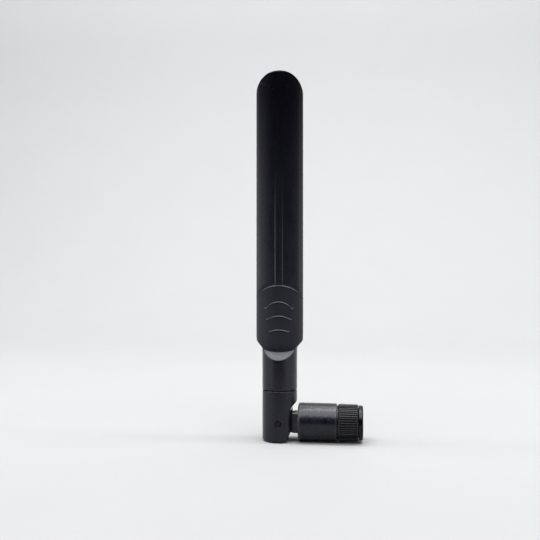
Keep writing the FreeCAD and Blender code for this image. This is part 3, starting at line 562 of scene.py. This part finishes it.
def metal(name, colour, tint, rough, brushed=(1, 1, 1), scratch=0.004):
    """Plated or turned metal: faint tool marks, uneven tarnish and fine scratches."""
    make = Shader(name)
    make.set(Metallic=1.0)
    tarnish = make.spread(make.noise(2.5, detail=4.0), 0.35, 0.7)
    make.drive("Base Color", make.mix(tarnish, colour, tint))
    marks = make.noise(0.25, stretch=brushed)
    make.drive("Roughness", make.math("ADD", make.spread(marks, 0.3, 0.7, -0.06, 0.08), rough))
    make.bump((marks, scratch))
    return make.material


def soft_stuff(name, dark, light, rough, grain_mm, depth, **settings):
    """Rubber, foam, jacket, fluoropolymer and nylon: a dull grain over a slow colour change."""
    make = Shader(name)
    make.set(**settings)
    make.drive("Base Color", make.mix(make.spread(make.noise(3.0), 0.3, 0.7), dark, light))
    grain = make.noise(grain_mm, detail=4.0)
    make.drive("Roughness", make.math("ADD", make.spread(grain, 0.3, 0.7, -0.06, 0.06), rough))
    make.bump((grain, depth))
    return make.material


def laminate(name, dark, light):
    """Solder-masked board: woven glass shows through as a faint square grain."""
    make = Shader(name)
    make.set(Coat_Weight=0.4, Coat_Roughness=0.2)
    warp = make.noise(0.5, detail=2.0, stretch=(1, 1, 0.2))
    weft = make.noise(0.5, detail=2.0, stretch=(0.2, 1, 1))
    weave = make.math("MAXIMUM", warp, weft)
    make.drive("Base Color", make.mix(make.spread(weave, 0.45, 0.7), dark, light))
    make.drive("Roughness", make.spread(weave, 0.4, 0.7, 0.35, 0.5))
    make.bump((weave, 0.01))
    return make.material


def paper(name, dark, light):
    """The studio's sweep."""
    make = Shader(name)
    make.set(Specular_IOR_Level=0.2)
    make.drive("Base Color", make.mix(make.noise(60.0), dark, light))
    make.drive("Roughness", make.spread(make.noise(1.0), 0.3, 0.7, 0.75, 0.85))
    return make.material


FINISHES = {
    # The paddle turns darker and less shiny towards its top: painted shade.
    "shell_black": moulded("paddle_plastic", (0.0056, 0.0058, 0.0100), (0.0076, 0.0078, 0.0130),
                           rough=0.28, grain_mm=0.16, grain_depth=0.004, sheen=0.52,
                           painted_light_by_height=(55.0, 135.0, -0.05, (0.0014, 0.0015, 0.0030), 0.12)),
    # From the ledges up the base turns lighter: painted light.
    "base_black": moulded("base_plastic", (0.0030, 0.0031, 0.0066), (0.0044, 0.0045, 0.0090),
                          rough=0.26, grain_mm=0.16, grain_depth=0.003, sheen=0.38,
                          painted_light_by_height=(28.0, 33.0, 0.10, (0.0120, 0.0122, 0.0175), 0.36)),
    "hinge_black": moulded("hinge_plastic", (0.0022, 0.0023, 0.0058), (0.0032, 0.0033, 0.0080),
                           rough=0.26, grain_mm=0.20, grain_depth=0.004, sheen=0.34),
    # The barrel's edges are painted pale grey in full: partly rubbed, partly a painted highlight along its
    # rims.
    "barrel_black": moulded("barrel_plastic", (0.0020, 0.0021, 0.0052), (0.0030, 0.0031, 0.0072),
                            rough=0.28, grain_mm=0.20, grain_depth=0.003, sheen=0.37, rubbing_and_highlight=1.0,
                            lathe_mm=0.10, edge=(0.15, 0.15, 0.16)),
    "grip_black": moulded("grip_plastic", (0.0008, 0.0008, 0.0014), (0.0014, 0.0014, 0.0022),
                          rough=0.13, grain_mm=0.3, grain_depth=0.001, sheen=0.32),
    "nut_black": metal("black_plating", (0.014, 0.014, 0.015), (0.026, 0.025, 0.025), rough=0.22,
                       brushed=(0.2, 1, 1), scratch=0.002),
    "pin_black": metal("blackened_steel", (0.014, 0.014, 0.018), (0.024, 0.024, 0.030), rough=0.30,
                       scratch=0.002),
    "brass": metal("turned_brass", (0.60, 0.43, 0.17), (0.44, 0.30, 0.12), rough=0.26, brushed=(6, 1, 1)),
    "gold": metal("gold_plating", (0.86, 0.62, 0.22), (0.74, 0.50, 0.17), rough=0.20, brushed=(4, 1, 1),
                  scratch=0.002),
    "steel": metal("spring_steel", (0.36, 0.36, 0.37), (0.24, 0.24, 0.25), rough=0.32, brushed=(1, 1, 6)),
    "copper": metal("bare_copper", (0.72, 0.34, 0.20), (0.52, 0.22, 0.12), rough=0.30, brushed=(1, 1, 3)),
    "solder": metal("solder", (0.55, 0.55, 0.56), (0.40, 0.40, 0.41), rough=0.35),
    "ptfe": soft_stuff("fluoropolymer", (0.78, 0.78, 0.75), (0.86, 0.86, 0.84), rough=0.38, grain_mm=0.3,
                       depth=0.004, Subsurface_Weight=0.2, Subsurface_Scale=0.001),
    "nylon": soft_stuff("nylon", (0.62, 0.60, 0.50), (0.70, 0.68, 0.60), rough=0.45, grain_mm=0.3,
                        depth=0.004, Subsurface_Weight=0.15, Subsurface_Scale=0.001),
    "rubber": soft_stuff("seal_rubber", (0.010, 0.010, 0.010), (0.018, 0.018, 0.018), rough=0.62,
                         grain_mm=0.2, depth=0.008),
    "cable_jacket": soft_stuff("cable_jacket", (0.10, 0.035, 0.014), (0.15, 0.055, 0.022), rough=0.30,
                               grain_mm=0.5, depth=0.003, Coat_Weight=0.3, Coat_Roughness=0.25),
    "foam": soft_stuff("foam", (0.030, 0.030, 0.033), (0.050, 0.050, 0.055), rough=0.85, grain_mm=0.35,
                       depth=0.08),
    "board": laminate("board_laminate", (0.012, 0.075, 0.03), (0.03, 0.13, 0.05)),
}


def finish_piece(piece, slot, body, node, finish=None):
    """Give a piece its material and slot, let it ride on its body, and stand it for its CAD node.

    A piece with no body is left unattached.
    """
    piece.data.materials.clear()
    piece.data.materials.append(FINISHES[finish or slot])
    if body:
        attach(piece, body)
    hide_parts(node)


def dress_nodes():
    """Give every CAD node the finish of its own slot."""
    for part in frame["record"]["subparts"]:
        thing = frame["nodes"][part["node"]]
        if not thing.material_slots:
            thing.data.materials.append(FINISHES[part["material_slot"]])
        for place in thing.material_slots:
            place.material = FINISHES[part["material_slot"]]


# --- paddle -------------------------------------------------------------------------------------
def strip_height(x, z):
    """How far the flat strip down the middle of the broad faces stands out."""
    across = 1 - smooth_step((np.abs(x) - STRIP_HALF) / STRIP_EDGE + 0.5)
    low, high = STRIP_FADE
    return STRIP_PROUD * across * (1 - smooth_step((z - low) / (high - low)))


def dome_depth(reach, turn, inset):
    """Half the thickness in the round top: the section runs on up to a rounded rim."""
    depth = lens_depth(reach * math.cos(turn), inset)
    rim = HALF_WIDTH - inset - DOME_EDGE
    past = np.clip(reach - rim, 0, DOME_EDGE)
    limit = HALF_DEPTH - inset - DOME_EDGE + np.sqrt(DOME_EDGE ** 2 - past ** 2)
    return np.minimum(depth, limit)


def sleeve_hoops(inset, rim):
    """Hoops over the paddle's round top, one for each place on the half section."""
    places = half_lens(inset, SLEEVE_STEPS)
    side = np.linspace(0, 1, SIDE_STEPS)
    dome = np.linspace(0, math.pi, DOME_STEPS)
    rim_places = [(height, half_lens(inset + extra, SLEEVE_STEPS)) for height, extra in rim]
    hoops = []
    for i, (x, y) in enumerate(places):
        start = seam_height(x) + rim[-1][0]
        right = [(p[i][0], p[i][1], seam_height(x) + height) for height, p in rim_places[:-1]]
        right += [(x, y, start + (DOME_CENTRE - start) * share) for share in side[:-1]]
        over = [(x * math.cos(turn), np.sign(np.round(y, 9)) * dome_depth(x, turn, inset),
                 DOME_CENTRE + x * math.sin(turn)) for turn in dome]
        left = [(-px, py, pz) for px, py, pz in reversed(right)]
        hoops.append(right + over + left)
    return np.array(hoops)


def make_sleeve():
    """Upper shell: round-topped skin with its flat strip, its inside, and the rim along the seam."""
    outer = sleeve_hoops(0, OUTER_RIM)
    outer[..., 1] += np.sign(outer[..., 1]) * strip_height(outer[..., 0], outer[..., 2])
    inner = sleeve_hoops(SHELL_WALL, INNER_RIM)
    places, stations = outer.shape[:2]
    points = np.concatenate([outer.reshape(-1, 3), inner.reshape(-1, 3)])
    second = places * stations
    faces = loft_faces(places, stations, round_rows=False)
    faces += loft_faces(places, stations, round_rows=False, first=second)
    for i in range(places - 1):
        for end in (0, stations - 1):
            a, b = i * stations + end, (i + 1) * stations + end
            faces.append((a, b, second + b, second + a))
    return make_object("sleeve", points, faces)


def base_radius(turn, height):
    """Radius of the lower shell's skin: paddle, 45 degree shoulders, sloping ledges, round neck."""
    across = np.maximum(np.abs(np.cos(turn)), TINY)
    deep = np.maximum(np.abs(np.sin(turn)), TINY)
    slope = np.clip((LEDGE_FOOT + NECK_RADIUS - height) / deep, -FAR, FAR)
    neck = soft_min(NECK_RADIUS, slope, NECK_BLEND)
    taper = np.clip((HALF_WIDTH + height - SHOULDER_TOP) / across, -FAR, 1.5 * FAR)
    paddle = soft_min(lens_radius(turn), taper, SHOULDER_BLEND)
    return soft_max(neck, paddle, LEDGE_BLEND)


def base_outside(loop, turn, top):
    """Rings of the lower shell's outside, from the groove at its foot to the seam's raised edge."""
    groove, groove_top = NECK_RADIUS - GROOVE_DEPTH, BASE_LOW.z + GROOVE_HEIGHT
    rings = [ring_at(groove, turn, BASE_LOW.z), ring_at(groove, turn, groove_top)]
    for lean in np.linspace(0, math.pi / 2, GROOVE_STEPS):
        height = groove_top + GROOVE_ROUNDING * (1 - math.cos(lean))
        rings.append(ring_at(NECK_RADIUS - GROOVE_ROUNDING * (1 - math.sin(lean)), turn, height))
    for height in [*np.arange(BASE_LOW.z + 1, NECK_TOP, NECK_STEP), *np.arange(*LEDGE_RINGS),
                   *np.arange(*SHOULDER_RINGS)]:
        rings.append(ring_at(base_radius(turn, height), turn, height))
    stretch = SEAM_RADIUS / np.sqrt(SEAM_RADIUS ** 2 - loop[:, 0] ** 2)
    for share in np.linspace(0, 1, FLANK_STEPS):
        height = FLANK_START + (top - FLANK_MARGIN * stretch - FLANK_START) * share
        rings.append(np.column_stack([loop, height]))
    facing = np.minimum(1, SEAM_FACING * np.abs(np.sin(turn)))[:, None]
    outward = lens_loop(-1) - loop
    for below, proud in SEAM_SECTION:
        moved = loop + outward * (proud * facing if proud > 0 else proud)
        moved[:, 0] = np.clip(moved[:, 0], -HALF_WIDTH, HALF_WIDTH)
        rings.append(np.column_stack([moved, top - below * stretch]))
    return rings


def base_inside(turn, top):
    """Rings of its inside, from the lip down: the board's room, the cable's way, the fork's stem hole."""
    lip = lens_loop(SHELL_WALL + LIP_GAP)
    board_low, board_high = box_mm("antenna_board")
    room = np.minimum((board_high.x + BOARD_PLAY[0]) / np.maximum(np.abs(np.cos(turn)), TINY),
                      (board_high.y + BOARD_PLAY[1]) / np.maximum(np.abs(np.sin(turn)), TINY))
    room_floor = board_low.z - BOARD_DROP
    hole = box_mm("coax_grommet")[1].x + GROMMET_PLAY
    stem_top = box_mm("hinge_yoke")[1].z + STEM_PLAY
    return [np.column_stack([lip, top]), np.column_stack([lip, np.full(len(turn), BASE_HIGH.z)]),
            ring_at(room, turn, BASE_HIGH.z), ring_at(room, turn, room_floor),
            ring_at(np.minimum(room, hole), turn, room_floor), ring_at(hole, turn, CABLE_WAY_MIDDLE),
            ring_at(hole, turn, stem_top), ring_at(STEM_HOLE, turn, stem_top),
            ring_at(STEM_HOLE, turn, BASE_LOW.z)]


def make_base_shell():
    """Lower shell as one closed skin, outside and inside."""
    loop = lens_loop(0)
    turn = np.arctan2(loop[:, 1], loop[:, 0])
    top = seam_height(loop[:, 0])
    return loft("base_shell", base_outside(loop, turn, top) + base_inside(turn, top))


def make_ridge(top, drop, half, side, number):
    """One raised arc on a broad face: a wedge that faces up, with ends that run out level."""
    arm = RIDGE_ARM * half
    radius = (arm ** 2 + drop ** 2) / (2 * drop)
    rings = []
    for share in np.linspace(-1, 1, RIDGE_STEPS):
        x = share * half
        tail = max(0.0, (abs(share) - RIDGE_ARM) / (1 - RIDGE_ARM))
        rise = math.sqrt(radius ** 2 - min(abs(x), arm) ** 2)
        z = top - radius + rise + RIDGE_LIFT * tail ** 2
        size = 1 - RIDGE_THINNING * smooth_step(tail ** 3)
        rings.append([(x, side * (lens_depth(x) + proud * size), z + up * size * radius / rise)
                      for up, proud in RIDGE_SECTION])
    rows, columns = len(rings), len(RIDGE_SECTION)
    faces = loft_faces(rows, columns) + end_caps(rows, columns)
    return make_object(f"ridge{number}", np.concatenate(rings), faces)


def make_paddle():
    """Both shells, with the arcs joined to the lower one."""
    finish_piece(make_sleeve(), "shell_black", "antenna", "radome_sleeve")
    shell = [make_base_shell()]
    for number, sizes in enumerate(RIDGES, start=1):
        shell.append(make_ridge(*sizes, -1, number))
        shell.append(make_ridge(*sizes, 1, number + len(RIDGES)))
    finish_piece(join(shell), "shell_black", "antenna", "base_housing", finish="base_black")


# --- hinge and swivel ---------------------------------------------------------------------------
def make_mould_line(side):
    """Fine raised line along one side of the knuckle's block, up to the barrel."""
    start = BLOCK_START + MOULD_LINE_ENDS[0]
    end = box_mm("swivel_housing")[0].x - MOULD_LINE_ENDS[1]
    points = [(x, side * (BLOCK_HALF + out), MOULD_LINE + up)
              for x in np.linspace(start, end, MOULD_LINE_STEPS) for out, up in MOULD_LINE_SECTION]
    size = MOULD_LINE_STEPS, len(MOULD_LINE_SECTION)
    return make_object(f"mould_line{side + 2}", points, loft_faces(*size) + end_caps(*size))


def make_hinge():
    """Fork and knuckle."""
    fork = softened("hinge_yoke", "fork", *FORK_SOFTNESS)
    finish_piece(fork, "hinge_black", "antenna", "hinge_yoke")
    knuckle = [softened("hinge_knuckle", "knuckle", *KNUCKLE_SOFTNESS)]
    knuckle += [make_mould_line(side) for side in (-1, 1)]
    finish_piece(join(knuckle), "hinge_black", "swivel", "hinge_knuckle")


def make_pins():
    """Hinge pins, set flush in the fork, with a thin groove round each end."""
    for node, turn in (("hinge_pin_front", -1), ("hinge_pin_rear", 1)):
        low, high = box_mm(node)
        radius = high.x
        inner, outer = sorted((abs(low.y), abs(high.y)))
        corners = [(inner, ON_AXIS, 0), (inner, radius, 0.15), (outer - PIN_GROOVE_LENGTH, radius, 0),
                   (outer - PIN_GROOVE_LENGTH, radius - PIN_GROOVE_DEPTH, 0),
                   (outer, radius - PIN_GROOVE_DEPTH, 0.06), (outer, ON_AXIS, 0)]
        pin = turned(node + "_piece", corners)
        pin.data.transform(Matrix.Translation(HINGE) @ Matrix.Rotation(turn * math.pi / 2, 4, "Z")
                           @ Matrix.Translation(-HINGE))
        finish_piece(pin, "pin_black", "antenna", node)


def make_barrel():
    """Barrel with rounded ends and a step towards the grip, drawn in to its bearing land."""
    low, high = box_mm("swivel_housing")
    radius, end_radius, end = high.z, high.z - BARREL_TAPER, high.x - STEP_LENGTH
    land_start, hollow_start = high.x - LAND_LENGTH, low.x + HOLLOW_START
    rim_taper = RIM_SHARE * BARREL_TAPER
    corners = [(low.x, BARREL_BORE, 0.0), (low.x, radius, BARREL_ROUNDING),
               (low.x + RIM_REACH, radius - rim_taper, 0.0), (end - RIM_REACH, end_radius + rim_taper, 0.0),
               (end - RIM_BEVEL_LENGTH, end_radius, 0.1), (end, end_radius - RIM_BEVEL_DEPTH, 0.1),
               (end, STEP_RADIUS, 0.05), (high.x, STEP_RADIUS, 0.12), (high.x, LAND_RADIUS, 0.1),
               (land_start, LAND_RADIUS, 0.0), (land_start, HOLLOW_RADIUS, 0.2),
               (hollow_start, HOLLOW_RADIUS, 0.2), (hollow_start, BARREL_BORE, 0.0)]
    barrel = turned("barrel", corners, columns=192)
    finish_piece(barrel, "hinge_black", "swivel", "swivel_housing", finish="barrel_black")


# --- nut ----------------------------------------------------------------------------------------
def make_grip():
    """Knurled sleeve: ribs that run out into the bevels at both ends."""
    low, high = box_mm("nut_grip")
    length = high.x - low.x
    turn = full_turn(GRIP_RIBS * GRIP_SAMPLES)
    place = np.abs(turn * GRIP_RIBS / (2 * math.pi) % 1 - 0.5) * 2
    flank_start, flank_end = GRIP_FLANK
    wave = np.clip((place - flank_start) / (flank_end - flank_start), 0, 1)

    def ribbed(along, limit):
        """A ring with ribs, cut to limit below their tops."""
        crest = high.z - GRIP_TAPER * (along - low.x) / length
        return ring_along(along, np.minimum(crest - GRIP_DEPTH * (1 - wave), crest - limit), turn)

    run_in = [(GRIP_BEVEL * GRIP_BEVEL_SLANT * (1 - math.cos(lean)), GRIP_BEVEL * (1 - math.sin(lean)))
              for lean in np.linspace(0, math.pi / 2, GRIP_BEVEL_STEPS)]
    face = high.z - GRIP_BEVEL - GRIP_FACE_DROP
    rings = [ring_along(low.x, GRIP_HUB, turn), ring_along(low.x, face, turn)]
    rings += [ribbed(low.x + inward, limit) for inward, limit in run_in]
    rings += [ribbed(low.x + length * share, 0) for share in np.linspace(*GRIP_MIDDLE)]
    rings += [ribbed(high.x - inward, limit) for inward, limit in reversed(run_in)]
    rings += [ring_along(along, radius, turn) for along, radius in (
        (high.x, face - GRIP_TAPER), (high.x, NUT_RADIUS + GRIP_PLAY),
        (low.x + GRIP_WALL, NUT_RADIUS + GRIP_PLAY), (low.x + GRIP_WALL, GRIP_HUB))]
    finish_piece(loft("grip", rings), "grip_black", "nut", "nut_grip")


def make_nut():
    """Coupling nut with a rounded ring in front and a real 7/16-28 thread inside."""
    low, high = box_mm("coupling_nut")
    turn = full_turn(144)
    shoulder = high.x - RING_LENGTH
    outside = [(low.x, NUT_REAR_BORE, 0.1), (low.x, NUT_RADIUS, 0.15), (shoulder, NUT_RADIUS, 0.1),
               (shoulder, high.z, 0.3), (high.x, high.z, RING_ROUNDING), (high.x, NUT_MOUTH, 0.15)]
    rings = rounded(outside, steps=7)
    start, end = high.x - THREAD_START, low.x + RELIEF_END
    for x in np.arange(start, end, -THREAD_PITCH / THREAD_STEPS):
        phase = (x / THREAD_PITCH - turn / (2 * math.pi)) % 1
        groove = np.clip(THREAD_CUT - np.abs(phase - 0.5) * THREAD_FLANK, 0, 1)
        fade = smooth_step(min((start - x) / THREAD_FADE, (x - end) / THREAD_FADE))
        rings.append((x, THREAD_MINOR + (THREAD_MAJOR - THREAD_MINOR) * groove * fade))
    relief = low.x + RELIEF_START
    rings += [(end, RELIEF_RADIUS), (relief, RELIEF_RADIUS), (relief, NUT_REAR_BORE)]
    finish_piece(loft("nut", [ring_along(x, radius, turn) for x, radius in rings]), "nut_black", "nut",
                 "coupling_nut")


# --- plug and cable -----------------------------------------------------------------------------
def make_bead():
    """Insulating bead, with the small roundings that show in the plug's mouth."""
    low, high = box_mm("insulator")
    nose = low.x + BEAD_NOSE_START
    corners = [(low.x, BEAD_BORE, 0), (low.x, high.z, 0.1), (nose, high.z, 0.1), (nose, BEAD_NOSE, 0.05),
               (high.x, BEAD_NOSE, 0.25), (high.x, BEAD_BORE, 0.1)]
    finish_piece(turned("bead", corners, columns=96), "ptfe", "connector", "insulator")


def make_contact():
    """Centre contact, drawn in to a small rounded tip."""
    low, high = box_mm("centre_contact")
    corners = [(low.x, ON_AXIS, 0), (low.x, high.z, 0.1), (high.x - CONTACT_NOSE, high.z, 0.3),
               (high.x - CONTACT_TIP, CONTACT_TIP_RADIUS, 0.15), (high.x, ON_AXIS, 0)]
    finish_piece(turned("contact", corners), "gold", "connector", "centre_contact")


def make_cable_bend():
    """Cable round the hinge, from the plug's axis up the paddle, in one fixed right-angle bend."""
    runs = np.linspace(0, 1, CABLE_RUN_STEPS)
    path = [((CABLE_BEND + CABLE_RUN * (1 - share), 0), 0.0) for share in runs]
    path += [((CABLE_BEND * (1 - math.sin(lean)), CABLE_BEND * (1 - math.cos(lean))), lean)
             for lean in np.linspace(0, math.pi / 2, CABLE_BEND_STEPS)[1:]]
    path += [((0, CABLE_BEND + CABLE_RUN * share), math.pi / 2) for share in runs[1:]]
    turn = full_turn(CABLE_COLUMNS)
    out, across = CABLE_RADIUS * np.cos(turn), CABLE_RADIUS * np.sin(turn)
    rings = [np.stack([x + out * math.sin(lean), across, z + out * math.cos(lean)], axis=1)
             for (x, z), lean in path]
    faces = loft_faces(len(rings), CABLE_COLUMNS) + end_caps(len(rings), CABLE_COLUMNS)
    piece = make_object("cable_bend", np.concatenate(rings), faces)
    finish_piece(piece, "cable_jacket", None, "coax_hinge_bend")
    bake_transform(piece)


# --- studio -------------------------------------------------------------------------------------
def make_sweep():
    """Pale floor that curves up behind into a wall."""
    floor_z = CAD_BOX[0].z
    profile = [(-FLOOR_FRONT, 0), (FLOOR_BACK, 0)]
    profile += [(FLOOR_BACK + SWEEP_RADIUS * math.sin(lean), SWEEP_RADIUS * (1 - math.cos(lean)))
                for lean in np.linspace(SWEEP_START, math.pi / 2, SWEEP_STEPS)]
    profile.append((FLOOR_BACK + SWEEP_RADIUS, WALL_TOP))
    mesh = bpy.data.meshes.new("sweep")
    corners = [(x, y, floor_z + z) for y, z in profile for x in (-FLOOR_HALF, FLOOR_HALF)]
    quads = [(2 * i, 2 * i + 1, 2 * i + 3, 2 * i + 2) for i in range(len(profile) - 1)]
    mesh.from_pydata(corners, [], quads)
    mesh.materials.append(paper("paper", PAPER_DARK, PAPER_LIGHT))
    add_mesh("sweep", mesh)


def add_light(name, place, target, size, power):
    """A rectangular light that faces its target."""
    light = bpy.data.lights.new(name, "AREA")
    light.shape = "RECTANGLE"
    light.size, light.size_y = size
    light.energy = power
    thing = bpy.data.objects.new(name, light)
    thing.location = place
    thing.rotation_mode = "QUATERNION"
    thing.rotation_quaternion = (Vector(target) - Vector(place)).to_track_quat("-Z", "Y")
    bpy.context.scene.collection.objects.link(thing)


def make_room():
    """Pale surroundings with a dark opening in front, where the camera stands, and a dim ceiling.

    The opening lies along -Y whatever the view, and only what the surfaces receive and reflect is
    dark: seen directly, the room is evenly pale.
    """
    world = bpy.data.worlds.new("room")
    world.use_nodes = True
    nodes, links = world.node_tree.nodes, world.node_tree.links
    apart = nodes.new("ShaderNodeSeparateXYZ")
    links.new(nodes.new("ShaderNodeTexCoord").outputs["Generated"], apart.inputs[0])

    def fade(axis, low, high, at_low, at_high):
        ranger = nodes.new("ShaderNodeMapRange")
        ranger.interpolation_type = "SMOOTHSTEP"
        for name, value in zip(("From Min", "From Max", "To Min", "To Max"), (low, high, at_low, at_high)):
            ranger.inputs[name].default_value = value
        links.new(apart.outputs[axis], ranger.inputs["Value"])
        return ranger.outputs["Result"]

    def times(first, second):
        product = nodes.new("ShaderNodeMath")
        product.operation = "MULTIPLY"
        links.new(first, product.inputs[0])
        links.new(second, product.inputs[1])
        return product.outputs[0]

    around = times(fade("Y", *ROOM_OPENING), fade("X", *ROOM_SIDES))
    lit = times(around, times(fade("Z", *ROOM_HEIGHT), fade("Z", *ROOM_DEPTH)))
    seen = nodes.new("ShaderNodeMix")
    links.new(nodes.new("ShaderNodeLightPath").outputs["Is Camera Ray"], seen.inputs[0])
    links.new(lit, seen.inputs[2])
    seen.inputs[3].default_value = BACKDROP_LEVEL
    links.new(seen.outputs[0], nodes["Background"].inputs["Strength"])
    nodes["Background"].inputs["Color"].default_value = ROOM_COLOUR
    bpy.context.scene.world = world


def make_studio():
    """Floor, softbox above and in front, a light for the wall, one behind the antenna, and the room."""
    make_sweep()
    for name, settings in LIGHTS.items():
        add_light(name, *settings)
    make_room()


def make_camera():
    """Level camera that looks at the antenna from just right of square-on."""
    azimuth = math.radians(CAMERA_AZIMUTH)
    back = Vector((math.sin(azimuth), -math.cos(azimuth), 0))
    right = Vector((math.cos(azimuth), math.sin(azimuth), 0))
    data = bpy.data.cameras.new("camera")
    data.lens = CAMERA_LENS
    data.sensor_width = CAMERA_SENSOR
    data.clip_start, data.clip_end = CAMERA_CLIP
    camera = bpy.data.objects.new("camera", data)
    foot = Vector((HINGE.x, HINGE.y, CAD_BOX[0].z + CAMERA_HEIGHT))
    camera.location = foot + back * CAMERA_DISTANCE - right * CAMERA_ASIDE
    camera.rotation_mode = "QUATERNION"
    camera.rotation_quaternion = (-back).to_track_quat("-Z", "Y")
    bpy.context.scene.collection.objects.link(camera)
    bpy.context.scene.camera = camera
    bpy.context.scene.view_settings.view_transform = "Standard"


dress_nodes()
make_paddle()
make_hinge()
make_pins()
make_barrel()
make_grip()
make_nut()
make_bead()
make_contact()
make_cable_bend()
make_studio()
make_camera()
